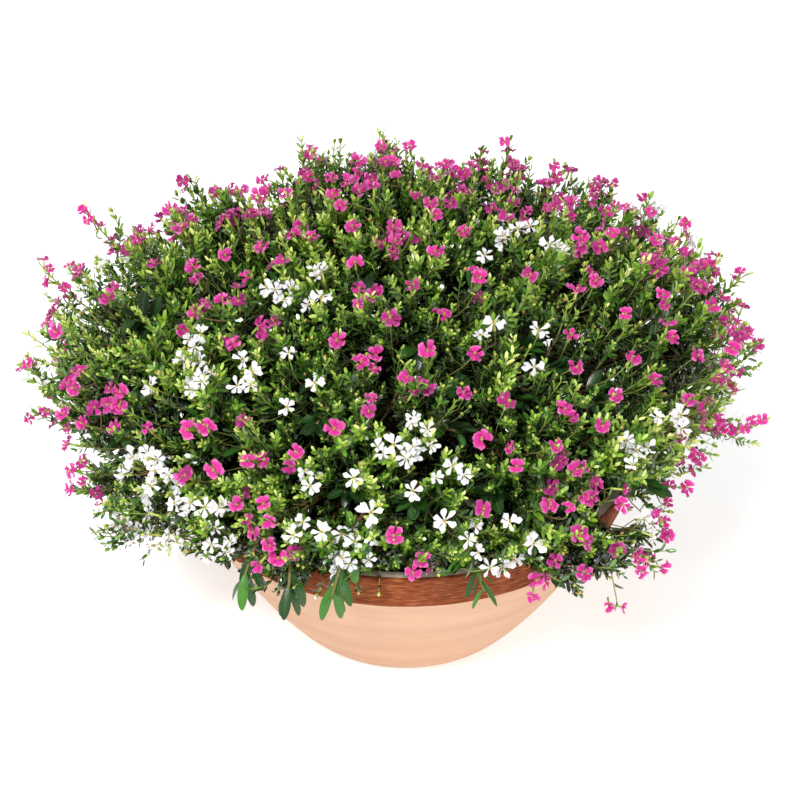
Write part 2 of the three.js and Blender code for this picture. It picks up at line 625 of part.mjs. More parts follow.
// The inset small face on a core's face: the face's place is taken by the six around it
function inset(body, best, root, r) {
  const outer = [...body.faces[best]];
  const inner = outer.map((n) => body.add(root.clone().addScaledVector(body.points[n].clone().sub(root).normalize(), r)));
  body.faces[best] = [outer[0], outer[1], inner[1]];
  body.face(outer[0], inner[1], inner[0]);
  body.face(outer[1], outer[2], inner[2]);
  body.face(outer[1], inner[2], inner[1]);
  body.face(outer[2], outer[0], inner[0]);
  body.face(outer[2], inner[0], inner[2]);
  body.used.add(best);
  return inner;
}
function faceData(body, i) {
  const [a, b, c] = body.faces[i].map((n) => body.points[n]);
  const out = b.clone().sub(a).cross(c.clone().sub(a));
  const root = a.clone().add(b).add(c).divideScalar(3);
  const room = Math.min(a.distanceTo(root), b.distanceTo(root), c.distanceTo(root));
  return { area: out.length() / 2, out: out.normalize(), root, room };
}
function shoot(body, k, target, size, large, number, pick) {
  let best = -1;
  let score = -9;
  for (let i = 0; i < body.coreFaces; i++) {
    if (body.used.has(i)) continue;
    const { area, out, root, room } = faceData(body, i);
    if (area < 45 || room < 4) continue;
    const go = target.clone().sub(root);
    const s = out.dot(go.clone().normalize()) - go.length() / 90;
    if (out.dot(go.normalize()) > 0.3 && s > score) {
      score = s;
      best = i;
    }
  }
  if (best < 0) return false;
  const { out, root } = faceData(body, best);
  // what hangs over the rim arches over it
  const arch = target.z < BOWL_HEIGHT + 8 ? 56 : 0;
  const line = [0, 0.4, 0.7, 0.92].map((t) => root.clone().lerp(target, t).addScaledVector(out, 14 * t * (1 - t)).addScaledVector(UP, arch * t * (1 - t)));
  for (let i = 0; i < 3; i++) {
    if (!isClear(line[i], line[i + 1], 1.5, "plant" + k) || !offBowl(line[i], line[i + 1], 1.5)) return false;
    if (body.stemRods.some((q) => gap(line[i], line[i + 1], q[0], q[1]) < 4)) return false;
    if (body.leafRods.some((q) => gap(line[i], line[i + 1], q[0], q[1]) < 3.6)) return false;
    if (meetsCore(i ? line[i] : line[0].clone().lerp(line[1], 0.06), line[i + 1])) return false;
  }
  let ring = inset(body, best, root, 1.7);
  let from = out;
  const first = body.points[ring[0]].clone().sub(root).normalize();
  const spokes = [0, 1, 2].map((i) => first.clone().applyAxisAngle(out, (2 * Math.PI * i) / 3));
  for (let j = 0; j < 3; j++) {
    rods.push({ a: line[j], b: line[j + 1], r: 1.6, owner: "plant" + k });
    body.stemRods.push([line[j], line[j + 1], number]);
  }
  for (let j = 1; j < line.length; j++) {
    const dir = line[j].clone().sub(line[j - 1]).normalize();
    const turn = new THREE.Quaternion().setFromUnitVectors(from, dir);
    spokes.forEach((s) => s.applyQuaternion(turn));
    from = dir;
    const r = [1.7, 1.4, 1.2, 1.0][j];
    const next = spokes.map((s) => body.add(line[j].clone().addScaledVector(s, r)));
    for (let i = 0; i < 3; i++) {
      const [a, b, c, d] = [ring[i], ring[(i + 1) % 3], next[(i + 1) % 3], next[i]];
      const lean = spokes[i].clone().add(spokes[(i + 1) % 3]).normalize();
      const near = (m, n, o) => body.points[m].clone().multiplyScalar(0.42).addScaledVector(body.points[n], 0.42).addScaledVector(body.points[o], 0.16);
      if (j > 1 || large) {
        const p = body.add(near(a, b, c));
        if (tryLeaf(body, k, [a, b, p], lean, dir, size, large ? "large" : "small", number, pick)) {
          body.face(b, c, p);
          body.face(c, a, p);
        } else body.face(a, b, c);
      } else body.face(a, b, c);
      if (j === 3) {
        const p = body.add(near(c, d, a));
        if (tryLeaf(body, k, [c, d, p], lean, dir, size * 0.9, large ? "large" : "small", number, pick)) {
          body.face(a, c, p);
          body.face(d, a, p);
        } else body.face(a, c, d);
      } else body.face(a, c, d);
    }
    ring = next;
  }
  // the last ring ends in a leaf of its own
  const length = size * 20;
  const flatSide = spokes[0].clone().cross(from).normalize();
  const far = line[3].clone().addScaledVector(from, length);
  if (!isClear(line[3], far, 0.15 * length, "plant" + k) || !offBowl(line[3], far, 2) || meetsCore(line[3], far)) return false;
  const mid = line[3].clone().addScaledVector(from, 0.4 * length);
  const across = spokes[1].dot(flatSide) < 0 ? -0.15 : 0.15;
  const last = [
    body.add(mid.clone().addScaledVector(spokes[0], 0.9)),
    body.add(mid.clone().addScaledVector(flatSide, across * length)),
    body.add(mid.clone().addScaledVector(flatSide, -across * length)),
  ];
  body.walls(ring, last);
  const end = body.add(far);
  for (let i = 0; i < 3; i++) body.face(last[i], last[(i + 1) % 3], end);
  rods.push({ a: line[3], b: far, r: 0.15 * length, owner: "plant" + k });
  body.leafRods.push([line[3].clone().addScaledVector(from, 3), far]);
  return true;
}
// A tuft on one face of a core: leaves and narrow blades by turns about a low cone
function tuft(body, k, face, shares, pick) {
  const { out } = faceData(body, face);
  const number = -1;
  const corners = body.faces[face].map((n) => body.points[n]);
  const root = corners.reduce((s, c, i) => s.addScaledVector(c, shares[i]), V(0, 0, 0));
  const edges = corners.map((c, i) => {
    const along = corners[(i + 1) % 3].clone().sub(c).normalize();
    return root.clone().sub(c).cross(along).length();
  });
  if (Math.min(...edges) < TUFT_RADIUS + 1) return false;
  const top = root.clone().addScaledVector(out, 9);
  if (!isClear(root, top, 5, "plant" + k) || body.stemRods.some((q) => gap(root, top, q[0], q[1]) < TUFT_RADIUS + 2)) return false;
  const [e1, e2] = basis(out);
  const turn = 2 * Math.PI * pick();
  const ring = [];
  for (let i = 0; i < 6; i++) {
    const a = turn + (Math.PI * i) / 3;
    ring.push(body.add(root.clone().addScaledVector(e1, TUFT_RADIUS * Math.cos(a)).addScaledVector(e2, TUFT_RADIUS * Math.sin(a))));
  }
  const outer = body.faces[face];
  const before = body.faces.length;
  body.stitch(outer, ring, root, out);
  body.faces[face] = body.faces.splice(before, 1)[0];
  body.used.add(face);
  const tip = body.add(root.clone().addScaledVector(out, 3));
  let grown = 0;
  for (let i = 0; i < 6; i++) {
    const [a, b] = [ring[i], ring[(i + 1) % 6]];
    const lean = body.points[a].clone().add(body.points[b]).multiplyScalar(0.5).sub(root).normalize();
    const wide = i % 2 ? 0.6 : 1;
    if (tryLeaf(body, k, [a, b, tip], lean.multiplyScalar(wide), out, 1.25, i % 2 ? "blade" : "small", number, pick)) grown++;
    else body.face(a, b, tip);
  }
  return grown > 2;
}

const bodies = cores.map((flat) => {
  const body = new Body();
  const keys = new Map();
  const number = (i) => {
    const key = flat.slice(i, i + 3).map((c) => Math.round(c * 1e4)).join();
    if (!keys.has(key)) keys.set(key, body.add(V(flat[i], flat[i + 1], flat[i + 2])));
    return keys.get(key);
  };
  for (let i = 0; i < flat.length; i += 9) body.face(number(i), number(i + 3), number(i + 6));
  body.coreFaces = body.faces.length;
  body.used = new Set();
  body.leafRods = [];
  body.stemRods = [];
  return body;
});
// Shoots with large dark leaves: where the tip is, and leaf size
const LARGE_SHOOTS = [
  { tip: [-98, -160, 126], size: 1.1 },
  { tip: [-70, -172, 126], size: 1.1 },
  { tip: [-44, -178, 130], size: 1.0 },
  { tip: [-168, -24, 238], size: 1.3 },
  { tip: [150, -114, 172], size: 1.0 },
  { tip: [46, -176, 132], size: 0.95 },
];
// Grows something on a body, and takes it back if it would pass through what is there
function grown(body, grow) {
  const kept = { points: body.points.length, faces: [...body.faces], used: new Set(body.used) };
  const lists = [rods, body.leafRods, body.stemRods];
  const lengths = lists.map((l) => l.length);
  if (grow() && !crossings(body, kept.faces.length)) return true;
  body.points.length = kept.points;
  body.faces = kept.faces;
  body.used = kept.used;
  lists.forEach((l, i) => {
    l.length = lengths[i];
  });
  return false;
}
const tips = [];
let shootCount = 0;
function plantFor(d) {
  let k = 0;
  plantBearings.forEach((o, j) => {
    if (o.dot(d) > plantBearings[k].dot(d)) k = j;
  });
  return k;
}
LARGE_SHOOTS.forEach(({ tip, size }, i) => {
  const pick = draws(400 + i);
  for (let n = 0; n < 120; n++) {
    const target = V(...tip).add(V(pick() - 0.5, pick() - 0.5, pick() - 0.5).multiplyScalar(0.5 * n));
    const k = plantFor(target.clone().sub(CENTRE).normalize());
    if (!grown(bodies[k], () => shoot(bodies[k], k, target, size, true, shootCount, pick))) continue;
    tips.push(target);
    shootCount++;
    return;
  }
  throw new Error("large shoot " + i + " finds no room");
});

const model = new THREE.Group();
model.add(bowl(), soil());

let magentas = 0;
let whites = 0;
sprays.forEach((group, j) => {
  const name = group.white ? "white_spray_" + String(++whites).padStart(2, "0") : "magenta_spray_" + String(++magentas).padStart(2, "0");
  model.add(spray(group, name, "spray" + j));
});

// The other shoots: spread over the whole mound, a third of them near its lower edge
for (let i = 0; i < 3000 && shootCount < SHOOT_COUNT + LARGE_SHOOTS.length; i++) {
  const pick = draws(5000 + i);
  const u = (i * 0.61803398875) % 1;
  const tilt = Math.asin(0.05 + 0.95 * (i % 3 ? u : 0.25 * u));
  const p = onMound(tilt, i * GOLDEN * 1.7);
  const target = drooped(CENTRE.clone().addScaledVector(p, 0.92 + 0.07 * pick()));
  if (tips.some((q) => q.distanceTo(target) < 46)) continue;
  if (rods.some((r) => r.r > 6 && r.b.distanceTo(target) < 13)) continue;
  const k = plantFor(p.clone().normalize());
  if (!grown(bodies[k], () => shoot(bodies[k], k, target, 1, false, shootCount, pick))) continue;
  tips.push(target);
  shootCount++;
}
// Tufts on the widest faces first, each tried at a few places of its face
const ROOTS = [[1, 1, 1], [3, 2, 2], [2, 3, 2], [2, 2, 3], [2, 1, 1], [1, 2, 1], [1, 1, 2]].map((w) => w.map((c) => c / (w[0] + w[1] + w[2])));
let tuftCount = 0;
const open = [];
function offer(body, k, i) {
  const { area, out, root } = faceData(body, i);
  const way = root.clone().sub(CENTRE).normalize();
  if (area < 200 || out.dot(way) < 0.2 || root.distanceTo(CENTRE) < 0.45 * reach(way)) return;
  open.push({ body, k, i, area: area * (0.3 + out.dot(way)) });
}
bodies.forEach((body, k) => {
  for (let i = 0; i < body.coreFaces; i++) if (!body.used.has(i)) offer(body, k, i);
});
for (let n = 0; n < 700 && open.length && tuftCount < TUFT_COUNT; n++) {
  open.sort((a, b) => b.area - a.area);
  const o = open.shift();
  const before = o.body.faces.length;
  for (let t = 0; t < ROOTS.length; t++) {
    if (!grown(o.body, () => tuft(o.body, o.k, o.i, ROOTS[t], draws(9000 + n * 10 + t)))) continue;
    tuftCount++;
    offer(o.body, o.k, o.i);
    for (let i = before; i < before + 8; i++) offer(o.body, o.k, i);
    break;
  }
}
const PLANT_NAMES = ["plant_middle", "plant_right", "plant_back_right", "plant_back_left", "plant_left", "plant_front_left", "plant_front_right"];
bodies.forEach((body, k) => model.add(body.mesh(PLANT_NAMES[k], LOOKS.leaf)));

export default model;
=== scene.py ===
# %% [markdown]
# # A potted mexican heather
# A low terracotta bowl holds seven small shrubs that have grown into one mound.
# The solids of the bowl, the soil, the plants and the flower sprays are already made, and they are the frame.
# This lesson dresses them: every piece is rebuilt finer in the same place, and gets a procedural material.

# %% Start from the frame
import math

import bpy
import numpy as np
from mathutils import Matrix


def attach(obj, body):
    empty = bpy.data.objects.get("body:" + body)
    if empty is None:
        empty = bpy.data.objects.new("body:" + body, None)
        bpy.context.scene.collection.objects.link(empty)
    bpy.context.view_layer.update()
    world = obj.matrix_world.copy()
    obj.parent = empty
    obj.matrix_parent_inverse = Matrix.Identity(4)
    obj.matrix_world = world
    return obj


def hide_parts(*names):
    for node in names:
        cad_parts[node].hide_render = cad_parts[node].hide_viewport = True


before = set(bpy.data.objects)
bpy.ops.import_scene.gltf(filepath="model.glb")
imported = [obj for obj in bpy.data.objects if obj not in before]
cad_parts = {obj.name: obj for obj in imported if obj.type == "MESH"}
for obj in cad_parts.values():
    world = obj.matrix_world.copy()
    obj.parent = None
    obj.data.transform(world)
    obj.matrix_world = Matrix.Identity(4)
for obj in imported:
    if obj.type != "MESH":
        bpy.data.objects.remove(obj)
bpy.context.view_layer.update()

# %% [markdown]
# ## Numbers that the solids and the looks share
# The mound is an ellipsoid with lobes, so a flower's place can be worked out from its number alone.
# Repeating that rule here puts each fine flower exactly on its plain solid, with nothing to fit by eye.
# All lengths are millimetres until a mesh is made.

# %% Sizes of the bowl and of the mound
MM = 0.001
FOOT_RADIUS = 71
BAND_BOTTOM = 106
BAND_RADIUS = 144
BAND_STEP = 1.4
RIM_RADIUS = 150
BOWL_HEIGHT = 132
BODY_CURVE = 0.78
WALL = 9.5
FLOOR = 10
SOIL_MIDDLE = 122
SOIL_EDGE = 118
DRAIN_RADIUS = 5.5
DRAIN_FROM_AXIS = 36
DRAIN_COUNT = 3

CENTRE = np.array([0.0, 0.0, 125.0])
MOUND_WIDE = 235
MOUND_HIGH = 178
MOUND_AXES = np.array([MOUND_WIDE, MOUND_WIDE, MOUND_HIGH])
UP = np.array([0.0, 0.0, 1.0])
LOW_LOBES = [
    0.88, 0.95, 0.98, 0.99, 1.0, 1.0, 1.0, 0.99, 1.0, 1.02, 0.93, 0.86, 0.78, 0.7, 0.69, 0.8, 0.84, 0.8,
]
MID_LOBES = [1.11, 1.09, 1.11, 0.9, 0.97, 1.15, 1.17, 0.92, 0.92, 0.94, 0.95, 0.96]
HIGH_LOBES = [1.05, 1.0, 1.05, 0.93, 0.99, 0.99]
TOP_LOBE = 1.0
LOBE_TILTS = np.radians([6, 34, 62])
DROOP = [8, 12, 15, 16, 16, 14, 10, 15, 20, 8, 20, 7]
DROOP_FROM = 150
DROOP_OVER = 90
GOLDEN = math.pi * (3 - math.sqrt(5))
# a full turn and a little, in radians: random turns and phases are shares of it
ANY_TURN = 6.3

BLOOM_COUNT = 340
LOWEST = 0.09
SPRAY_COUNT = 50
WHITE_SPREAD = 9.5
WHITE_SPRAYS = [
    (212, 36), (212, 15), (228, 11), (269, 29), (255, 19), (339, 66), (307, 52), (323, 19), (285, 13),
    (223, 62), (236, 44), (35, 30), (75, 18), (105, 42), (150, 16),
]
SOLID_RADIUS = {True: 8.6, False: 9.0}
PLANTS = [(0, 90), (15, 26), (75, 26), (135, 26), (195, 26), (255, 26), (315, 26)]
PLANT_NAMES = [
    "plant_middle", "plant_right", "plant_back_right", "plant_back_left",
    "plant_left", "plant_front_left", "plant_front_right",
]
LARGE_SHOOTS = [
    (-98, -160, 126), (-70, -172, 126), (-44, -178, 130),
    (-168, -24, 238), (150, -114, 172), (46, -176, 132),
]
print("the bowl is", 2 * RIM_RADIUS, "mm wide and", BOWL_HEIGHT, "mm high, the mound about", 2 * MOUND_WIDE)

# %% [markdown]
# ## The mound's surface
# These few functions turn a height angle and a way round into a point on the lobed mound.
# What hangs past the rim droops, so the outer points are lowered.
# They work on whole arrays at once, because there are tens of thousands of leaves to place.

# %% Points on the mound
def unit(v):
    return v / np.maximum(np.linalg.norm(v, axis=-1, keepdims=True), 1e-9)


def ease(t):
    t = np.clip(t, 0, 1)
    return t * t * (3 - 2 * t)


def around(values, phi):
    values = np.asarray(values, float)
    t = (phi / (2 * math.pi) * len(values)) % len(values)
    i = np.floor(t).astype(int) % len(values)
    f = ease(t - np.floor(t))
    return values[i] * (1 - f) + values[(i + 1) % len(values)] * f


def lobe(tilt, phi):
    low, mid, high = LOBE_TILTS
    a, b, c = around(LOW_LOBES, phi), around(MID_LOBES, phi), around(HIGH_LOBES, phi)
    lower = a + (b - a) * ease((tilt - low) / (mid - low))
    middle = b + (c - b) * ease((tilt - mid) / (high - mid))
    upper = c + (TOP_LOBE - c) * ease((tilt - high) / (math.pi / 2 - high))
    return np.where(tilt < mid, lower, np.where(tilt < high, middle, upper))


def on_mound(tilt, phi):
    tilt, phi = np.asarray(tilt, float), np.asarray(phi, float)
    flat = MOUND_WIDE * np.cos(tilt)
    point = np.stack([flat * np.cos(phi), flat * np.sin(phi), MOUND_HIGH * np.sin(tilt)], -1)
    return point * lobe(tilt, phi)[..., None]


def reach(way):
    tilt = np.arctan2(way[..., 2] / MOUND_HIGH, np.hypot(way[..., 0], way[..., 1]) / MOUND_WIDE)
    return np.linalg.norm(on_mound(tilt, np.arctan2(way[..., 1], way[..., 0])), axis=-1)


print("the mound reaches", round(float(reach(np.array([0.0, -1.0, 0.3]))), 1), "mm towards the front")

# %% Drooping, bearings, and how deep a point is
def sag(points):
    out = np.hypot(points[..., 0], points[..., 1])
    hang = ease((out - DROOP_FROM) / DROOP_OVER)
    return around(DROOP, np.arctan2(points[..., 1], points[..., 0])) * hang


def drooped(points):
    lowered = np.array(points, float)
    lowered[..., 2] -= sag(lowered)
    return lowered


def bearing(pair):
    turn, height = math.radians(pair[0]), math.radians(pair[1])
    flat = math.cos(height)
    return np.array([flat * math.cos(turn), flat * math.sin(turn), math.sin(height)])


def depth_share(points):
    """How far out a point is: 0 at the mound's centre, 1 on its surface."""
    raised = np.array(points, float)
    raised[..., 2] += sag(raised)
    away = raised - CENTRE
    return np.linalg.norm(away, axis=-1) / reach(away)


print("the mound's right edge hangs", round(float(sag(np.array([MOUND_WIDE, 0.0, 0.0]))), 1), "mm")

# %% [markdown]
# ## Where each flower is
# Flowers sit along a golden-angle spiral, which never lines up in rows, with a small seeded shift each.
# The same seeded numbers made the solids, so a flower here matches its solid to a hundredth of a millimetre.
# A flower whose solid was left out for want of room is found by looking for its petal tip in the frame.

# %% Seeded draws and the flowers
def draws(seed):
    state = [seed & 0xFFFFFFFF]

    def pick():
        state[0] = (state[0] + 0x6D2B79F5) & 0xFFFFFFFF
        t = state[0]
        t = ((t ^ (t >> 15)) * (t | 1)) & 0xFFFFFFFF
        t ^= (t + (t ^ (t >> 7)) * (t | 61)) & 0xFFFFFFFF
        return (t ^ (t >> 14)) / 4294967296

    return pick


def across_axis(axis):
    """Two directions at right angles to an axis."""
    upright = np.abs(axis[..., 2:3]) < 0.9
    first = unit(np.where(upright, np.cross([0.0, 0.0, 1.0], axis), np.cross([1.0, 0.0, 0.0], axis)))
    return first, unit(np.cross(axis, first))


BLOOM_SEED = 1000
BLOOM_SHIFT = 7
LOWEST_START = 17
blooms = []
for i in range(BLOOM_COUNT):
    pick = draws(BLOOM_SEED + i)
    tilt = math.asin(LOWEST + (1 - LOWEST) * (i + 0.5) / BLOOM_COUNT)
    start = on_mound(tilt, i * GOLDEN) * (0.93 + 0.09 * pick())
    start = start + (np.array([pick(), pick(), pick()]) - 0.5) * BLOOM_SHIFT
    start[2] = max(start[2], LOWEST_START)
    out = unit(start / MOUND_AXES ** 2)
    axis = out * 0.8 + 0.25 * UP + (np.array([pick(), pick(), pick()]) - 0.5) * 0.7
    blooms.append({
        "way": unit(start), "from": start, "at": drooped(start + CENTRE), "axis": unit(axis),
        "size": 0.9 + 0.2 * pick(), "turn": 2 * math.pi * pick(),
    })
print(len(blooms), "flowers are planned")

# %% The sprays that the flowers belong to
# in each round, every magenta spray's seed moves to the middle of its flowers
ROUNDS = 12
ways = np.array([b["way"] for b in blooms])
seeds = np.array([bearing(pair) for pair in WHITE_SPRAYS])
while len(seeds) < SPRAY_COUNT:
    seeds = np.vstack([seeds, ways[int(np.argmin((ways @ seeds.T).max(1)))]])


def nearest_seed(ways):
    """The nearest spray to each direction; a white one takes only the flowers close round it."""
    close = ways @ seeds.T
    far = close < math.cos(math.radians(WHITE_SPREAD))
    return np.argmax(np.where(far & (np.arange(SPRAY_COUNT) < len(WHITE_SPRAYS)), -2.0, close), 1)


for _ in range(ROUNDS):
    nearest = nearest_seed(ways)
    for j in range(len(WHITE_SPRAYS), SPRAY_COUNT):
        if (nearest == j).any():
            seeds[j] = unit(ways[nearest == j].sum(0))
nearest = nearest_seed(ways)
print("the sprays have up to", np.bincount(nearest).max(), "flowers each")

# %% The flowers whose solids are there
PETAL_TIP_RISE = 1.6
FOUND_WITHIN = 0.5
sprays = []
for j in range(SPRAY_COUNT):
    white = j < len(WHITE_SPRAYS)
    name = f"white_spray_{j + 1:02d}" if white else f"magenta_spray_{j + 1 - len(WHITE_SPRAYS):02d}"
    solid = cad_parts[name].data.vertices
    corners = np.empty(len(solid) * 3)
    solid.foreach_get("co", corners)
    corners = corners.reshape(-1, 3) / MM
    members = []
    for i in np.flatnonzero(nearest == j):
        b = blooms[i]
        e1, e2 = across_axis(b["axis"])
        radius = SOLID_RADIUS[white] * b["size"]
        tip = b["at"] + radius * (math.cos(b["turn"]) * e1 + math.sin(b["turn"]) * e2)
        tip = tip + PETAL_TIP_RISE * b["axis"]
        if np.linalg.norm(corners - tip, axis=1).min() < FOUND_WITHIN:
            members.append(int(i))
    sprays.append({"name": name, "white": white, "members": members, "way": seeds[j]})
print(sum(len(s["members"]) for s in sprays), "flowers in", len(sprays), "sprays")

# %% [markdown]
# ## Colours and nodes
# Colours are written as the hex values of a colour picker, and one function turns them to linear light.
# One more function adds a shader node with its settings, constant inputs, links and colour stops.
# Every material of the object ends in the same way, so a last function makes that end.

# %% Helpers for materials
def linear(hex_colour):
    parts = [int(hex_colour[k:k + 2], 16) / 255 for k in (1, 3, 5)]
    return tuple(c / 12.92 if c < 0.04045 else ((c + 0.055) / 1.055) ** 2.4 for c in parts) + (1.0,)


def add_node(tree, kind, values=None, links=None, stops=None, **settings):
    """Adds a node; a link can name a socket, or a node for that node's first output."""
    made = tree.nodes.new("ShaderNode" + kind)
    for name, value in settings.items():
        setattr(made, name, value)
    for name, value in (values or {}).items():
        made.inputs[name].default_value = value
    for name, source in (links or {}).items():
        tree.links.new(getattr(source, "outputs", [source])[0], made.inputs[name])
    if stops:
        while len(made.color_ramp.elements) < len(stops):
            made.color_ramp.elements.new(0.5)
        for element, (place, colour) in zip(made.color_ramp.elements, stops):
            element.position = place
            element.color = linear(colour)
    return made


def new_material(name):
    material = bpy.data.materials.new(name)
    material.use_nodes = True
    material.node_tree.nodes.clear()
    return material, material.node_tree


def traits_of(tree):
    """The three numbers that every plant point carries: across the blade, along it, and its shade."""
    read = add_node(tree, "Attribute", attribute_name="traits")
    return add_node(tree, "SeparateXYZ", links={0: read.outputs["Vector"]}).outputs


def end_material(tree, colour, values, bump=None, passed=0.0):
    """The end of a material: a surface, and for what is thin a share of light that passes through."""
    links = {"Base Color": colour}
    if bump:
        links["Normal"] = bump
    surface = add_node(tree, "BsdfPrincipled", values, links)
    if passed:
        through = add_node(tree, "BsdfTranslucent", links={"Color": colour})
        surface = add_node(tree, "MixShader", {0: passed}, {1: surface, 2: through})
    add_node(tree, "OutputMaterial", links={"Surface": surface})


print("middle grey, #808080, is", round(linear("#808080")[0], 3), "in linear light")

# %% [markdown]
# ## Foliage materials
# A heather leaf is small, smooth and a little waxy, so it is quite glossy and lets some light through.
# Young tips are yellow-green, the brightest with a painted highlight, and the leaves that sit deep in the
# bush are a dark bottle green, made darker still by painted shade.
# Each leaf carries a shade number, and a colour ramp reads it, so one material makes every leaf.

# %% Small leaves
def leaf_material():
    material, tree = new_material("fresh_heather_leaf")
    across, _, shade = traits_of(tree)
    # 220 to a metre on the piece: mottles of some 5 mm, so that each leaf differs a little from the next
    place = add_node(tree, "TexCoord").outputs["Object"]
    mottle = add_node(tree, "TexNoise", {"Scale": 220.0, "Detail": 2.0}, {"Vector": place})
    shift = add_node(tree, "Math", {1: 0.16, 2: -0.08}, {0: mottle}, operation="MULTIPLY_ADD")
    level = add_node(tree, "Math", {}, {0: shade, 1: shift}, operation="ADD")
    # the last stop, near white, is a painted highlight on the brightest young leaves; the first, near black,
    # is painted shade deep in the bush
    stops = [(0.0, "#0A1308"), (0.25, "#1D360D"), (0.5, "#3F7015"), (0.74, "#94BA38"), (1.0, "#ECF096")]
    green = add_node(tree, "ValToRGB", links={0: level}, stops=stops)
    # the midrib: a pale line that fades out over the middle fifth of the blade
    off_middle = add_node(tree, "Math", {}, {0: across}, operation="ABSOLUTE")
    edges = {"From Min": 0.05, "From Max": 0.22, "To Min": 0.22, "To Max": 0.0}
    rib = add_node(tree, "MapRange", edges, {"Value": off_middle})
    colour = add_node(tree, "Mix", {7: linear("#A9C86A")}, {0: rib, 6: green}, data_type="RGBA")
    waxy = {"Roughness": 0.22, "IOR": 1.45, "Specular IOR Level": 1.0}
    end_material(tree, colour.outputs[2], waxy, passed=0.1)
    return material


heather_leaf = leaf_material()
print("made", heather_leaf.name)

# %% [markdown]
# ## Large leaves
# Some stout shoots carry leaves as long as a finger joint, dark and glossy, with sunk side veins.
# The veins slant from the midrib to the tip, so a sawtooth of "along minus a part of across" draws them.

# %% Large veined leaves
def veined_leaf_material():
    material, tree = new_material("waxy_dark_veined_leaf")
    across, along, shade = traits_of(tree)
    off_middle = add_node(tree, "Math", {}, {0: across}, operation="ABSOLUTE")
    slant = add_node(tree, "Math", {1: -0.16}, {0: off_middle, 2: along}, operation="MULTIPLY_ADD")
    # nine pairs of side veins along a blade of some 25 mm, so one every 3 mm
    steps = add_node(tree, "Math", {1: 9.0}, {0: slant}, operation="MULTIPLY")
    wave = add_node(tree, "Math", {1: 0.5}, {0: steps}, operation="PINGPONG")
    edges = {"From Min": 0.0, "From Max": 0.12, "To Min": 1.0, "To Max": 0.0}
    vein = add_node(tree, "MapRange", edges, {"Value": wave})
    rib = add_node(tree, "MapRange", edges | {"From Min": 0.04, "From Max": 0.14}, {"Value": off_middle})
    lines = add_node(tree, "Math", {}, {0: vein, 1: rib}, operation="MAXIMUM")
    stops = [(0.0, "#0D1D0C"), (0.5, "#1F4517"), (1.0, "#478228")]
    green = add_node(tree, "ValToRGB", links={0: shade}, stops=stops)
    faint = add_node(tree, "Math", {1: 0.14}, {0: lines}, operation="MULTIPLY")
    colour = add_node(tree, "Mix", {7: linear("#7FA462")}, {0: faint, 6: green}, data_type="RGBA")
    sunk = add_node(tree, "Bump", {"Strength": 0.5, "Distance": 0.0005}, {"Height": lines}, invert=True)
    end_material(tree, colour.outputs[2], {"Roughness": 0.28, "IOR": 1.45}, sunk, 0.12)
    return material


dark_leaf = veined_leaf_material()
print("made", dark_leaf.name)

# %% [markdown]
# ## Stems, buds and petals
# Young stems are green and soft, old ones reddish-brown wood: the stem's shade runs from one to the other.
# Buds are plump, pale yellow-green with a flush of red.
# Petals are thin and slightly crumpled: hot pink that pales towards the edge, or white with a hint of green.

# %% Stems, buds and the flower's eye
def stem_material():
    material, tree = new_material("heather_stem_green_to_wood")
    *_, shade = traits_of(tree)
    # bark cracks are finer than a millimetre, and are drawn 2.5 mm apart so that they show
    place = add_node(tree, "TexCoord").outputs["Object"]
    grain = add_node(tree, "TexNoise", {"Scale": 400.0, "Detail": 3.0}, {"Vector": place})
    stops = [(0.0, "#3A241B"), (0.35, "#6E4030"), (0.65, "#7C7A3C"), (1.0, "#93AE45")]
    skin = add_node(tree, "ValToRGB", links={0: shade}, stops=stops)
    faint = add_node(tree, "Math", {1: 0.35}, {0: grain}, operation="MULTIPLY")
    colour = add_node(tree, "Mix", {7: linear("#2A1B14")}, {0: faint, 6: skin}, data_type="RGBA")
    bump = add_node(tree, "Bump", {"Strength": 0.4, "Distance": 0.0003}, {"Height": grain})
    end_material(tree, colour.outputs[2], {"Roughness": 0.6}, bump)
    return material


def shaded_material(name, stops, values):
    """A plain material whose colour follows the shade number alone."""
    material, tree = new_material(name)
    *_, shade = traits_of(tree)
    end_material(tree, add_node(tree, "ValToRGB", links={0: shade}, stops=stops), values)
    return material


stem_skin = stem_material()
bud_skin = shaded_material(
    "plump_green_bud_and_flower_tube",
    [(0.0, "#84A042"), (0.45, "#B4C256"), (0.78, "#B89458"), (1.0, "#9A5444")],
    {"Roughness": 0.42, "Specular IOR Level": 0.5})
eye_skin = shaded_material(
    "yellow_flower_eye_and_pollen",
    [(0.0, "#5E4A1C"), (0.5, "#B9A24A"), (1.0, "#F0DC8A")],
    {"Roughness": 0.7})
print("made", stem_skin.name, bud_skin.name, "and", eye_skin.name)

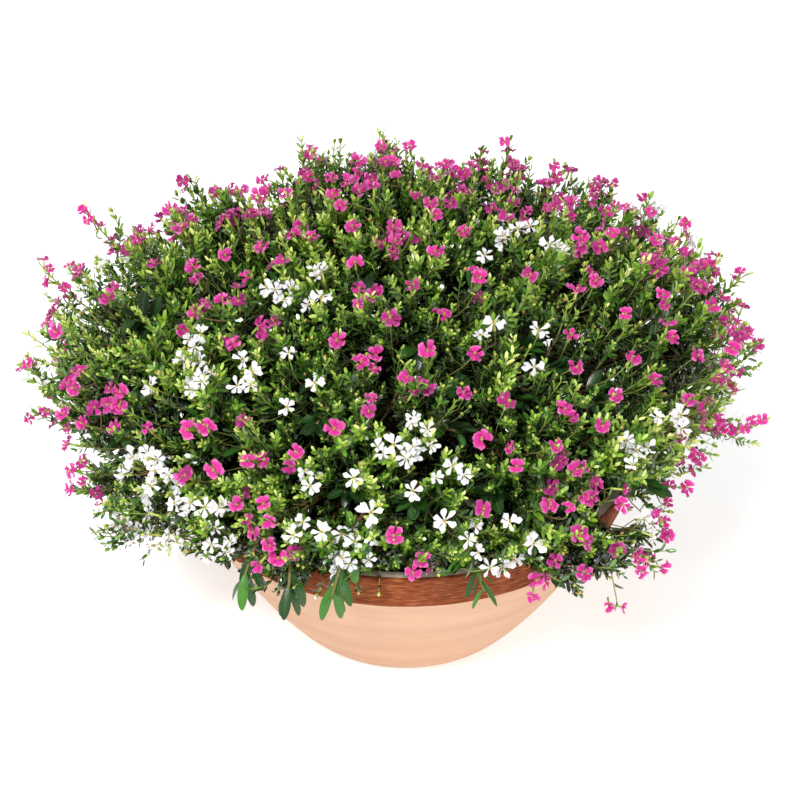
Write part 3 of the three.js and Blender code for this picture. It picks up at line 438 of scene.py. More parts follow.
# %% Petals
def petal_material(name, throat, middle, edge, deep, passed):
    material, tree = new_material(name)
    across, along, shade = traits_of(tree)
    stops = [(0.0, throat), (0.3, middle), (0.65, middle), (1.0, edge)]
    blush = add_node(tree, "ValToRGB", links={0: along}, stops=stops)
    # the shade number darkens a flower towards the deep colour: partly the flowers' own differing tone,
    # partly painted shade
    deeper = add_node(tree, "Mix", {7: linear(deep)}, {0: shade, 6: blush}, data_type="RGBA")
    # five darker veins fan over the petal
    fan = add_node(tree, "Math", {1: 2.5}, {0: across}, operation="MULTIPLY")
    wave = add_node(tree, "Math", {1: 0.5}, {0: fan}, operation="PINGPONG")
    edges = {"From Min": 0.0, "From Max": 0.16, "To Min": 0.22, "To Max": 0.0}
    vein = add_node(tree, "MapRange", edges, {"Value": wave})
    veined = {0: vein, 6: deeper.outputs[2]}
    colour = add_node(tree, "Mix", {7: linear(deep)}, veined, data_type="RGBA").outputs[2]
    # crinkles about a millimetre apart, as on crumpled tissue
    place = add_node(tree, "TexCoord").outputs["Object"]
    crinkle = add_node(tree, "TexNoise", {"Scale": 900.0, "Detail": 2.0}, {"Vector": place})
    bump = add_node(tree, "Bump", {"Strength": 0.6, "Distance": 0.0006}, {"Height": crinkle})
    end_material(tree, colour, {"Roughness": 0.55, "Sheen Weight": 0.15}, bump, passed)
    return material


magenta_petal = petal_material("magenta_petal_tissue", "#840E5C", "#E6289E", "#F692D4", "#960A6A", 0.34)
white_petal = petal_material("white_petal_tissue", "#D9E0A8", "#F7F5F6", "#FFFFFF", "#E2DEE6", 0.3)
print("made", magenta_petal.name, "and", white_petal.name)

# %% [markdown]
# ## Making many small things fast
# Building a hundred thousand leaves one by one in Python would take minutes.
# Instead one leaf is written as a small template, and array sums put copies of it everywhere at once.
# A Growth gathers those copies, and ends as one mesh with several materials.

# %% A gatherer of points and triangles
class Growth:
    def __init__(self):
        self.points, self.triangles, self.skins, self.traits = [], [], [], []
        self.count = 0

    def add(self, points, triangles, skin, traits):
        points = points.reshape(-1, 3)
        triangles = triangles.reshape(-1, 3)
        self.points.append(points)
        self.triangles.append(triangles + self.count)
        self.skins.append(np.full(len(triangles), skin, np.int32))
        self.traits.append(traits.reshape(-1, 3))
        self.count += len(points)

    def piece(self, name, materials, slot, node):
        points = np.concatenate(self.points) * MM
        triangles = np.concatenate(self.triangles)
        mesh = bpy.data.meshes.new(name)
        mesh.vertices.add(len(points))
        mesh.vertices.foreach_set("co", points.astype(np.float32).ravel())
        mesh.loops.add(triangles.size)
        mesh.loops.foreach_set("vertex_index", triangles.astype(np.int32).ravel())
        mesh.polygons.add(len(triangles))
        mesh.polygons.foreach_set("loop_start", np.arange(0, triangles.size, 3, dtype=np.int32))
        for material in materials:
            mesh.materials.append(material)
        mesh.polygons.foreach_set("material_index", np.concatenate(self.skins))
        mesh.polygons.foreach_set("use_smooth", np.ones(len(triangles), bool))
        mesh.update(calc_edges=True)
        store = mesh.attributes.new("traits", "FLOAT_VECTOR", "POINT")
        store.data.foreach_set("vector", np.concatenate(self.traits).astype(np.float32).ravel())
        made = bpy.data.objects.new(name, mesh)
        bpy.context.scene.collection.objects.link(made)
        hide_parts(node)
        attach(made, "root")
        print(name, "has", len(triangles), "triangles")


# %% Faces of a grid, and the template of a blade
def grid_faces(rows, columns, closed):
    """Triangles over a grid of points, row after row; a closed grid joins its last column to its first."""
    faces = []
    for j in range(rows - 1):
        for i in range(columns if closed else columns - 1):
            k = (i + 1) % columns
            a, b, c, d = j * columns + i, j * columns + k, (j + 1) * columns + k, (j + 1) * columns + i
            faces += [(a, b, c), (a, c, d)]
    return np.array(faces)


def blade_template(stations, widths, fold, curl, sides=(-1, 0, 1)):
    """A blade 1 long and 1 wide, folded up along its midrib, its tip curling down."""
    points, traits = [(0, 0, 0)], [(0, 0, 0)]
    for along, wide in zip(stations, widths):
        for side in sides:
            points.append((side * wide / 2, along, abs(side) * wide * fold - curl * along ** 2))
            traits.append((side, along, 0))
    points.append((0, 1, -curl))
    traits.append((0, 1, 0))
    n, tip = len(sides), len(points) - 1
    ends = [[(0, 2 + i, 1 + i), (tip - n + i, tip - n + i + 1, tip)] for i in range(n - 1)]
    triangles = np.vstack([*ends, 1 + grid_faces(len(stations), n, False)])
    return np.array(points, float), triangles, np.array(traits, float)


TWIG_LEAF = blade_template([0.3, 0.78], [0.92, 0.82], 0.0, 0.5, (-1, 1))
STEM_LEAF = blade_template([0.3, 0.8], [0.92, 0.8], 0.25, 0.45)
LARGE_LEAF = blade_template(
    [0.1, 0.25, 0.45, 0.65, 0.83, 0.95], [0.32, 0.7, 0.97, 1.0, 0.78, 0.42], 0.12, 0.6)
print("a twig leaf has", len(TWIG_LEAF[1]), "triangles, a large one", len(LARGE_LEAF[1]))

# %% Copies of a template
def stamp(growth, template, skin, origins, ways, shades):
    """Copies of a template at origins (n, 3); ways are its three axes there, each as long as its scale."""
    points, triangles, traits = template
    n = len(origins)
    placed = origins[:, None] + sum(points[None, :, k, None] * ways[k][:, None] for k in range(3))
    carried = np.repeat(traits[None], n, 0)
    carried[:, :, 2] += np.reshape(shades, (-1, 1))
    growth.add(placed, triangles[None] + (np.arange(n) * len(points))[:, None, None], skin, carried)


def three_ways(along, top):
    """Across, along and up for things that point along and face the top."""
    along = unit(along)
    side = unit(np.cross(along, top))
    return side, along, np.cross(side, along)


BLADE_HEIGHT = 0.35


def blades(growth, template, skin, origins, along, top, lengths, widths, shades):
    """Copies of a blade: its fold and curl are drawn at a share of its length."""
    x, y, z = three_ways(along, top)
    scaled = widths[:, None] * x, lengths[:, None] * y, BLADE_HEIGHT * lengths[:, None] * z
    stamp(growth, template, skin, origins, scaled, shades)


print("a blade 10 mm long curls down by", round(10 * BLADE_HEIGHT * -STEM_LEAF[0][-1, 2], 2), "mm")

# %% Tubes
def tubes(growth, skin, paths, radii, sides, shades):
    """Tubes along paths (n, m, 3); radii and shades are (m,) or (n, m)."""
    n, m = paths.shape[:2]
    tangent = unit(np.gradient(paths, axis=1))
    first, _ = across_axis(unit(tangent.sum(1)))
    e1 = unit(np.cross(tangent, np.cross(first[:, None], tangent)))[:, :, None]
    e2 = np.cross(tangent[:, :, None], e1)
    turn = (2 * math.pi * np.arange(sides) / sides)[:, None]
    ring = np.cos(turn) * e1 + np.sin(turn) * e2
    points = paths[:, :, None] + ring * np.broadcast_to(radii, (n, m))[:, :, None, None]
    last = (m - 1) * sides
    cap = [(last, last + i, last + i + 1) for i in range(1, sides - 1)]
    faces = np.vstack([grid_faces(m, sides, True), cap])
    carried = np.zeros((n, m, sides, 3))
    carried[..., 1] = np.linspace(0, 1, m)[None, :, None]
    carried[..., 2] = np.broadcast_to(shades, (n, m))[:, :, None]
    growth.add(points, faces[None] + (np.arange(n) * m * sides)[:, None, None], skin, carried)


print("a tube of 3 sides along 7 points has", len(grid_faces(7, 3, True)) + 1, "triangles")

# %% Curves
def curve(a, b, c, t):
    """Points on the curves from a to c, pulled towards b: a, b, c are (n, 3) and t is (m,)."""
    t = np.broadcast_to(t, (len(a), np.shape(t)[-1]))[..., None]
    point = (1 - t) ** 2 * a[:, None] + 2 * t * (1 - t) * b[:, None] + t ** 2 * c[:, None]
    slope = unit((1 - t) * (b - a)[:, None] + t * (c - b)[:, None])
    return point, slope


middle, _ = curve(*np.eye(3)[:, None], [0.5])
print("halfway along a curve its three points weigh", middle.ravel())

# %% [markdown]
# ## The seven plants
# Each plant is a short woody trunk, fourteen branches that end inside the mound, and from each branch end a
# bundle of leafy shoots that run out to the mound's surface.
# The shoots carry leaves in pairs, each pair turned a right angle from the one before, and side twigs with
# smaller leaves. Leaves get shorter, brighter and more upright towards a tip, and buds sit among the last.

# %% Hollows, bare places and shoots that stand out
HOLLOW_DEGREES = 6.5
HOLLOW_DEPTH = 0.36
HOLLOWS = [
    (303, 41), (320, 43), (226, 27), (245, 37), (272, 23), (284, 37), (239, 46), (286, 47), (275, 57),
    (316, 51), (328, 33), (289, 23), (256, 24), (211, 26), (345, 28), (20, 44), (60, 34), (95, 28),
    (125, 36), (160, 30), (178, 56), (45, 62), (330, 70), (240, 72), (77, 57), (135, 48), (36, 48), (188, 8),
    (198, 12), (332, 10),
]
FILLS = [
    (194, 32), (200, 31), (191, 28), (197, 37), (172, 56), (325, 57),
    (295, 46), (301, 36), (290, 32), (236, 51), (334, 30), (308, 39),
]
# ends of the shoots that stand out of the outline, and of two that hang over the rim
SPIKES = np.array([
    (-207, 70, 266), (-146, 100, 271), (-68, 110, 293), (-43, 115, 289), (-14, 110, 291), (68, 115, 291),
    (49, 120, 281), (98, 110, 276), (120, 100, 269), (159, 90, 261), (184, 80, 249), (201, 40, 245),
    (214, 20, 244), (209, -10, 222), (228, -30, 167), (-237, 50, 236), (-245, 0, 189), (-239, -20, 167),
    (-183, 80, 239), (-204, -70, 141), (154, -110, 107), (131, -120, 84),
], float)
plant_ways = np.array([bearing(pair) for pair in PLANTS])
plant_shares = np.array([0.38] + [0.4] * 6)
plant_middles = CENTRE + plant_ways * (plant_shares * reach(plant_ways))[:, None]
hollow_ways = np.array([bearing(pair) for pair in HOLLOWS])


def hollow_at(points):
    """How much of a hollow there is on the way from the centre to each point, from 0 to 1."""
    angle = np.degrees(np.arccos(np.clip((unit(points - CENTRE) @ hollow_ways.T).max(-1), -1, 1)))
    return np.exp(-(angle / HOLLOW_DEGREES) ** 2)


print(len(HOLLOWS), "hollows,", len(FILLS), "places to fill and", len(SPIKES), "shoots that stand out")

# %% Where the shoots end
SHOOTS = 700
CLUMPS = 150
GATHER = 0.8
LEAD_SHARE = 0.22
rng = np.random.default_rng(20)
number = np.arange(SHOOTS)
shoot_tilt = np.arcsin(0.03 + 0.97 * (number + rng.random(SHOOTS)) / SHOOTS)
places = unit(on_mound(shoot_tilt, number * GOLDEN + rng.normal(0, 0.05, SHOOTS)))
# shoots crowd towards the middles of clumps, which leaves dark gaps between the clumps
number = np.arange(CLUMPS)
clump_tilt = np.arcsin(0.02 + 0.98 * (number + rng.random(CLUMPS)) / CLUMPS)
clumps = unit(on_mound(clump_tilt, number * GOLDEN + rng.normal(0, 0.08, CLUMPS)))
clump = np.argmax(places @ clumps.T, 1)
places = unit(places + GATHER * clumps[clump])
places = places * reach(places)[:, None]
clump_lift = rng.normal(0, 0.035, CLUMPS)[clump]
leads = rng.random(SHOOTS) < LEAD_SHARE
tip_shares = np.where(leads, rng.uniform(0.97, 1.04, SHOOTS), rng.uniform(0.81, 0.94, SHOOTS))
tip_shares += clump_lift - HOLLOW_DEPTH * hollow_at(CENTRE + places)
tips = drooped(CENTRE + places * tip_shares[:, None])
# the sides are airier than the middle, so some of the plain shoots are left out there
chance = np.where((tips[:, 0] > 110) & (tips[:, 2] > 150), 0.5, 0)
chance = chance + np.where((tips[:, 0] < -140) & (tips[:, 2] > 215), 0.35, 0)
airy = ~leads & (rng.random(SHOOTS) < chance)
tips, leads = tips[~airy], leads[~airy]
print(len(tips), "shoots are spread over the mound")

# %% More shoots: beside the flowers, in bare places and out of the outline
UNDER_FLOWER = 4.5
# a leafy shoot beside each flower as well, ending just under it
bloom_numbers = [i for s in sprays for i in s["members"]]
bloom_tips = np.array([blooms[i]["at"] - UNDER_FLOWER * blooms[i]["axis"] for i in bloom_numbers])
bloom_tips = bloom_tips[hollow_at(bloom_tips) < 0.6]
# three shoots at each place that would be too bare
fill_ways = np.repeat([bearing(pair) for pair in FILLS], 3, 0)
fill_tips = drooped(CENTRE + (0.9 * reach(fill_ways))[:, None] * fill_ways)
fill_tips = fill_tips + rng.normal(0, 8, fill_ways.shape)
plain_tips = np.vstack([bloom_tips + rng.normal(0, 2.5, bloom_tips.shape), fill_tips])
tips = np.vstack([tips, plain_tips, SPIKES])
leads = np.concatenate([leads, np.zeros(len(plain_tips), bool), np.ones(len(SPIKES), bool)])
total = len(tips)
print(total, "shoots, of which", int(leads.sum()), "stand out of the mound")

# %% Keeping leaves out of the clay, and off the bare part of the band
def outer_radius(z):
    rise = (np.clip(z, 0, BAND_BOTTOM) / BAND_BOTTOM) ** BODY_CURVE
    body = FOOT_RADIUS + (BAND_RADIUS - BAND_STEP - FOOT_RADIUS) * rise
    band = BAND_RADIUS + (RIM_RADIUS - BAND_RADIUS) * (z - BAND_BOTTOM) / (BOWL_HEIGHT - BAND_BOTTOM)
    return np.where(z < BAND_BOTTOM, body, band)


def in_clay(points, room):
    """Whether points lie in the bowl's wall or under the soil."""
    z = points[..., 2]
    past = np.hypot(points[..., 0], points[..., 1]) - outer_radius(z)
    wall = (z < BOWL_HEIGHT + room) & (past < room) & (past > -WALL - room)
    return wall | ((z < SOIL_EDGE + 3) & (past < room))


def band_edge(points):
    """The height at which foliage ends over the bare part of the band, at the front."""
    return 42 - 0.654 * points[..., 1] + 3 * np.sin(0.21 * points[..., 0])


def bare_band(points):
    x, y = points[..., 0], points[..., 1]
    return (x > -8) & (x < 88) & (y < -118) & (points[..., 2] < band_edge(points))


hides = bare_band(tips)
tips[hides, 2] = band_edge(tips[hides]) + rng.uniform(2, 10, hides.sum())
print(int(hides.sum()), "shoots were lifted off the bare part of the band")

# %% The gap at the right, and stems that bend round it and over the rim
# a piece of the rim shows at the right, through a round gap that runs from the rim towards the viewer
GAP_START = np.array([128.0, -80.0, 134.0])
GAP_WAY = unit(np.array([0.0, -110.0, 72.0]))
GAP_RADIUS = 13


def from_gap(points):
    """How deep points lie in the gap, in millimetres, and the way out of it."""
    away = points - GAP_START
    far = away @ GAP_WAY
    off = away - far[..., None] * GAP_WAY
    return np.where(far > -4, GAP_RADIUS - np.linalg.norm(off, axis=-1), 0), unit(off)


def in_gap(points):
    return from_gap(points)[0] > 0


def barred(points, room):
    return in_clay(points, room) | bare_band(points) | in_gap(points)


def over_rim(points):
    """Bends stems that would pass through the rim over it, and round the gap at the right."""
    lifted = np.array(points, float)
    out = np.hypot(lifted[..., 0], lifted[..., 1])
    near = ease((out - 118) / 22) * ease((182 - out) / 22)
    lifted[..., 2] += near * np.clip(BOWL_HEIGHT + 4 - lifted[..., 2], 0, None)
    deep, way_out = from_gap(lifted)
    return lifted + np.clip(deep, 0, None)[..., None] * way_out


def stems(growth, skin, ends, steps, radii, sides, shades):
    """Tapering stems along curves (a, b, c), with their radii and shades at both ends, kept off the rim."""
    point, _ = curve(*ends, np.linspace(0, 1, steps))
    tubes(growth, skin, over_rim(point), np.linspace(*radii, steps), sides, np.linspace(*shades, steps))


print(int(in_gap(tips).sum()), "shoots end in the gap")

# %% Where the shoots start, and which way they point
owner = np.argmax(unit(tips - CENTRE) @ plant_ways.T, 1)
outward = unit(tips - plant_middles[owner])
surface = unit((tips - CENTRE) / MOUND_AXES ** 2)
wander = rng.normal(0, 1, (total, 3)) * np.where(leads, 0.1, 0.2)[:, None]
rise = np.where(tips[:, 2] < 125, -0.6, 0.5)[:, None] * UP
pointing = unit(0.45 * outward + 0.4 * surface + rise + wander)
inner_ends = plant_middles[owner] + 0.42 * (tips - plant_middles[owner])
BRANCHES = 14
COARSE_SHARE = 0.15
branch_ends = np.zeros((len(PLANTS), BRANCHES, 3))
for k in range(len(PLANTS)):
    mine = inner_ends[owner == k]
    chosen = [0]
    while len(chosen) < BRANCHES:
        apart = np.linalg.norm(mine[:, None] - mine[chosen][None], axis=2).min(1)
        chosen.append(int(np.argmax(apart)))
    branch_ends[k] = mine[chosen]
gaps = np.linalg.norm(inner_ends[:, None] - branch_ends[owner], axis=2)
roots = branch_ends[owner, np.argmin(gaps, 1)]
lengths = np.linalg.norm(tips - roots, axis=1)
pulls = tips - pointing * (0.5 * lengths)[:, None]
# no plain shoot crosses the gap through which the rim shows
path, _ = curve(roots, pulls, tips, np.linspace(0, 1, 13))
crosses = in_gap(path).any(1) & ~leads
# one shoot in seven is coarse, with larger and darker leaves
coarse = rng.random(total) < COARSE_SHARE
leaf_size = np.where(coarse, 1.4, rng.uniform(0.85, 1.15, total))
leaf_tone = np.where(coarse, -0.14, rng.normal(0.0, 0.05, total))
print("shoots are", lengths.min().round(), "to", lengths.max().round(), "mm long,", coarse.sum(), "coarse")

# %% Pairs of leaves
LEAF_SKIN, STEM_SKIN, BUD_SKIN, LARGE_SKIN = range(4)
is_white = np.array([s["white"] for s in sprays])
print("leaves are a little paler round the", int(is_white.sum()), "white sprays")


def side_ways(slope, turn):
    """A direction across each stem, turned round it by an angle."""
    e1, e2 = across_axis(slope)
    return np.cos(turn)[..., None] * e1 + np.sin(turn)[..., None] * e2


def brightness(points, young, lift):
    """A leaf's shade from how young it is and the tone of its place, with painted shade at the back, under
    the front overhang and deep in the mound, where the older leaves are darker too.
    """
    near = np.argmax(unit(points - CENTRE) @ seeds.T, -1)
    # paler round the white sprays, with a tone that changes from spray to spray; the back, away from the
    # lamps, is drawn darker as painted shade
    tone_and_painted_shade = np.where(is_white[near], 0.08, 0.0) + 0.07 * np.sin(3.1 * near) - 0.1 * ease(points[..., 1] / 120)
    # painted shade: under the overhang at the front the leaves are drawn darker
    tone_and_painted_shade -= 0.5 * ease((175 - points[..., 2]) / 45) * ease((-60 - points[..., 1]) / 60)
    # leaves deep in the mound are darker: partly the older leaves' own dark green, partly painted shade
    out = ease((depth_share(points) - 0.66) / 0.3)
    return np.clip(0.02 + (0.34 + 0.45 * young + tone_and_painted_shade + lift) * out, 0, 1)


def leaf_pairs(growth, template, point, slope, turn, long_at, wide_share, lean_at, young_at, lift):
    """Pairs of leaves at points (n, m, 3) of stems; long_at, lift are (n, m), the other _at values (m,)."""
    n, m = point.shape[:2]
    for sign in (0, math.pi):
        side = side_ways(slope, turn + sign + rng.normal(0, 0.25, (n, m)))
        lean = (lean_at[None] + rng.normal(0, 0.18, (n, m)))[..., None]
        way = unit(np.cos(lean) * slope + np.sin(lean) * side + 0.08 * UP)
        top = np.sin(lean) * slope - np.cos(lean) * side
        long = long_at * (0.82 + 0.36 * rng.random((n, m)))
        start = point + side * 0.5
        tip = way * long[..., None]
        keep = ~barred(start + tip, 1.0) & ~barred(start + 0.5 * tip, 1.0)
        keep &= (start[..., 2] > SOIL_MIDDLE + 4) | (np.hypot(start[..., 0], start[..., 1]) > RIM_RADIUS)
        keep &= rng.random((n, m)) > 0.05
        shade = brightness(start, young_at[None], lift + rng.normal(0, 0.08, (n, m)))
        blades(growth, template, LEAF_SKIN, start[keep], way[keep], top[keep], long[keep],
               (long * wide_share)[keep], shade[keep])


# %% Buds
def bud_template():
    points = [(0, 0, 0)]
    for along, wide in ((0.3, 0.4), (0.7, 0.5)):
        points += [(wide, along, 0), (0, along, wide), (-wide, along, 0), (0, along, -wide)]
    points.append((0, 1, 0))
    triangles = []
    for i in range(4):
        k = (i + 1) % 4
        triangles += [(0, 1 + i, 1 + k), (1 + i, 5 + k, 1 + k), (1 + i, 5 + i, 5 + k), (5 + i, 9, 5 + k)]
    points = np.array(points, float)
    return points, np.array(triangles), points * (0, 1, 0)


BUD = bud_template()
print("a bud has", len(BUD[1]), "triangles")


def end_buds(growth, start, bend, end):
    """A bud at some of the twigs' tips, and one beside it, lower down."""
    q = len(start)
    for spot in (0.8, 1.0):
        point, slope = curve(start, bend, end, [spot])
        lean = side_ways(slope[:, 0], rng.random(q) * ANY_TURN)
        way = unit(slope[:, 0] + 0.7 * lean * (spot < 1))
        plump = (0.8 + 0.5 * rng.random(q))[:, None]
        some = (rng.random(q) < 0.65) & (depth_share(end) > 0.8)
        if some.any():
            shade = np.clip(rng.normal(0.35, 0.25, some.sum()), 0, 1)
            x, y, z = three_ways(way, across_axis(way)[0])
            scaled = [(size * plump * axis)[some] for size, axis in ((2.0, x), (3.2, y), (2.0, z))]
            stamp(growth, BUD, BUD_SKIN, point[some, 0], scaled, shade)


# %% Side twigs
QUARTER = math.pi / 2
TWIG_STARTS = np.linspace(0.4, 0.88, 5)


def side_twigs(growth, shoot, spot, turn, size, tone, lead):
    """A side twig from each shoot, unless it would end in the clay, a gap or the open air."""
    start, slope = curve(*shoot, [spot])
    start, slope = over_rim(start)[:, 0], slope[:, 0]
    side = side_ways(slope, turn + rng.normal(0, 0.3, len(turn)))
    long = ((36 - 22 * spot) * (0.7 + 0.6 * rng.random(len(turn))))[:, None]
    end = start + long * unit(0.8 * slope + 0.62 * side + 0.22 * UP)
    bend = start + 0.5 * long * unit(0.45 * slope + 0.8 * side)
    keep = ~barred(end, 3.0) & ~in_gap(bend) & ~(lead & (spot > 0.7))
    keep &= depth_share(end) < np.where(lead, 1.25, 1.04) - 0.2 * hollow_at(end)
    start, bend, end, size, tone = start[keep], bend[keep], end[keep], size[keep], tone[keep]
    if not len(start):
        return
    point, _ = curve(start, bend, end, np.linspace(0, 1, 4))
    tubes(growth, STEM_SKIN, point, np.linspace(0.5, 0.3, 4), 3, np.linspace(0.6, 1.0, 4))
    t = np.linspace(0.2, 0.98, 9)
    point, slope = curve(start, bend, end, t)
    turn = rng.random(len(start))[:, None] * ANY_TURN + np.arange(9)[None] * QUARTER
    leaf_pairs(growth, TWIG_LEAF, point, slope, turn, (6.8 - 2.9 * t)[None] * size[:, None], 0.46,
               np.radians(58 - 30 * t), 0.15 + 0.85 * t ** 2, tone[:, None])
    end_buds(growth, start, bend, end)


print("a shoot has up to", len(TWIG_STARTS), "side twigs")

# %% One plant
TRUNK_HIGH = 20
TRUNK_RADII = [5.4, 4.8, 4.2, 4.0, 3.9, 3.9, 3.0]


def grow_plant(k):
    growth = Growth()
    mine = np.flatnonzero((owner == k) & ~crosses)
    shoot = roots[mine], pulls[mine], tips[mine]
    size, tone, lead = leaf_size[mine], leaf_tone[mine], leads[mine]
    turn = rng.random(len(mine)) * 2 * math.pi

    # each shoot's stem, and leaves in pairs along it, larger and darker near its foot
    stems(growth, STEM_SKIN, shoot, 7, (1.1, 0.4), 3, (0.15, 0.95))
    t = np.linspace(0.16, 0.985, 15)
    point, slope = curve(*shoot, t)
    leaf_pairs(growth, STEM_LEAF, over_rim(point), slope, turn[:, None] + np.arange(15)[None] * QUARTER,
               (11.0 - 6.0 * t)[None] * size[:, None], 0.42, np.radians(66 - 38 * t), ease((t - 0.6) / 0.4),
               tone[:, None])
    for j, spot in enumerate(TWIG_STARTS):
        side_twigs(growth, shoot, spot, turn + j * 2.4, size, tone, lead)

    # branches from the trunk's top, and the trunk
    foot = plant_middles[k] * (1, 1, 0) + (SOIL_MIDDLE - 6) * UP
    head = foot + TRUNK_HIGH * UP
    ends = branch_ends[k]
    pull = head + 0.5 * (ends - head) * (0.55, 0.55, 1.2)
    heads = np.repeat(head[None], BRANCHES, 0)
    stems(growth, STEM_SKIN, (heads, pull, ends), 8, (2.2, 1.1), 6, (0.0, 0.3))
    trunk = np.linspace(foot - 8 * UP, head + 3 * UP, len(TRUNK_RADII))[None]
    tubes(growth, STEM_SKIN, trunk, TRUNK_RADII, 12, 0.0)
    return growth


print("a trunk is", TRUNK_HIGH, "mm high and has", BRANCHES, "branches")

# %% Stout shoots with long dark leaves
def branch_near(point):
    """The plant on whose side a point lies, and the nearest end of its branches."""
    k = int(np.argmax(plant_ways @ unit(point - CENTRE)))
    return k, branch_ends[k][np.argmin(np.linalg.norm(branch_ends[k] - point, axis=1))]


def large_shoot(tip, seed, longs, wides, hangs):
    """A stout shoot with pairs of long leaves, which hang if it reaches over the rim."""
    picks = np.random.default_rng(seed)
    tip = np.array(tip, float)
    k, root = branch_near(tip)
    pull = 0.5 * (root + tip) + (34.0 if hangs else 10.0) * UP
    shoot = root[None], pull[None], tip[None]
    stems(growths[k], STEM_SKIN, shoot, 9, (1.8, 0.8), 6, (0.1, 0.6))
    t = np.array([0.72, 0.8, 0.87, 0.93, 0.98] if hangs else [0.5, 0.62, 0.74, 0.84, 0.92, 0.98])
    point, slope = curve(*shoot, t)
    point, slope = over_rim(point)[0], slope[0]
    for sign in (0, math.pi):
        side = side_ways(slope, np.arange(len(t)) * QUARTER + sign + picks.normal(0, 0.25, len(t)))
        fan = 1.0 if wides[1] < 0.22 else 0.6
        way = unit((0.3 if hangs else 0.75) * slope + fan * side + (-0.85 if hangs else 0.05) * UP)
        way = unit(way + picks.normal(0, 0.12 if hangs else 0.28, way.shape))
        top = unit(np.cross(way, np.cross(UP + 0.3 * slope, way)))
        long = picks.uniform(*longs, len(t)) * np.where(t > 0.95, 0.8, 1)
        keep = ~in_clay(point + way * long[:, None], 0.5)
        wide = long * picks.uniform(*wides, len(t))
        shade = picks.uniform(0.1, 0.7, len(t)) + 0.3 * hangs
        blades(growths[k], LARGE_LEAF, LARGE_SKIN, point[keep], way[keep], top[keep], long[keep],
               wide[keep], shade[keep])


print(len(LARGE_SHOOTS), "stout shoots stand out, and", len(HOLLOWS), "fill the hollows")

# %% All seven plants
growths = [grow_plant(k) for k in range(len(PLANTS))]
for i, (x, y, z) in enumerate(LARGE_SHOOTS):
    over = z < BOWL_HEIGHT + 8
    longs, wides = ((21, 27), (0.25, 0.3)) if x < 0 else ((14, 20), (0.14, 0.19))
    if not over:
        longs, wides = (12, 19), (0.4, 0.52)
    large_shoot((x, y + 3 * over, z + 9 * over), 60 + i, longs, wides, over)
for i, way in enumerate(hollow_ways):
    large_shoot(drooped(CENTRE + 0.8 * reach(way) * way), 90 + i, (11, 18), (0.38, 0.5), False)
for name, growth in zip(PLANT_NAMES, growths):
    growth.piece(name + "_leafy", [heather_leaf, stem_skin, bud_skin, dark_leaf], "foliage", name)

# %% [markdown]
# ## The flowers
# A heather flower is a slender green tube with six petals spread at its mouth.
# Magenta petals are round and crinkled on a narrow claw, white ones spoon-shaped; one side's are shorter.
# A handful of different flowers is modelled, open and half open, and each place takes one of them.

# %% Petals of one flower
PETAL_ROWS = [0.1, 0.3, 0.55, 0.78, 0.93, 1.0]
MAGENTA_WIDTHS = [0.13, 0.25, 0.54, 0.69, 0.58, 0.26]
WHITE_WIDTHS = [0.1, 0.17, 0.38, 0.51, 0.36, 0.13]


def petals(widths, radius, crumple, rise, seed):
    """Six crinkled petals as points, triangles and traits, in millimetres, facing up the Z axis."""
    picks = np.random.default_rng(seed)
    points, triangles, traits = [], [], []
    for p in range(6):
        turn = 2 * math.pi * p / 6 + picks.normal(0, 0.15)
        long = radius * (1 - 0.12 * math.cos(turn) + picks.normal(0, 0.08))
        lift, twist = picks.normal(rise, 0.16), picks.normal(0, 0.4)
        phase = picks.random(3) * ANY_TURN
        tone = picks.normal(0, 0.16)
        triangles.append(len(points) + grid_faces(len(PETAL_ROWS), 3, False))
        for along, wide in zip(PETAL_ROWS, widths):
            for s in (-1.0, 0.0, 1.0):
                x = s * wide * radius / 2
                y = long * along * (1 - 0.1 * s * s * along) * math.cos(0.6 * lift)
                wave = along * math.sin(2.6 * s + phase[0]) + 0.7 * math.sin(9 * along + phase[1])
                z = long * along * lift * (1.2 - 0.5 * along) + twist * x + crumple * wave
                z += 0.4 * abs(s) * wide
                c, d = math.cos(turn), math.sin(turn)
                points.append((x * c - y * d, x * d + y * c, z))
                traits.append((s, along, tone))
    return np.array(points), np.vstack(triangles), np.array(traits)


print("petals are widest", PETAL_ROWS[3], "of the way out")

# %% The eye, and the kinds of flowers
def eye(seed):
    """The mouth of the tube, with five short stamens."""
    picks = np.random.default_rng(seed)
    points, triangles, shades = [(0, 0, 0.5)], [], [0.1]
    for i in range(6):
        a = 2 * math.pi * i / 6
        points.append((0.95 * math.cos(a), 0.95 * math.sin(a), 0.3))
        shades.append(0.5)
        triangles.append((0, 1 + i, 1 + (i + 1) % 6))
    for i in range(5):
        a = 2 * math.pi * (i + 0.5) / 5 + picks.normal(0, 0.25)
        way = np.array([math.cos(a), math.sin(a), 0])
        head = way + (1.5 + picks.normal(0, 0.3)) * UP
        across = np.cross(way, UP) * 0.22
        first = len(points)
        points += [way * 0.4 + 0.3 * UP, head - across, head + 0.4 * UP, head + across]
        shades += [0.5, 0.95, 1.0, 0.95]
        triangles += [(first, first + 1, first + 3), (first + 1, first + 2, first + 3)]
    return np.array(points, float), np.array(triangles), np.outer(shades, (0, 0, 1))


def flower_kinds(widths, radius, crumple, open_rise, shut_rise, seed):
    rises = [open_rise] * OPEN_KINDS + [shut_rise] * (KINDS - OPEN_KINDS)
    return [petals(widths, radius, crumple, rise, seed + i) for i, rise in enumerate(rises)]


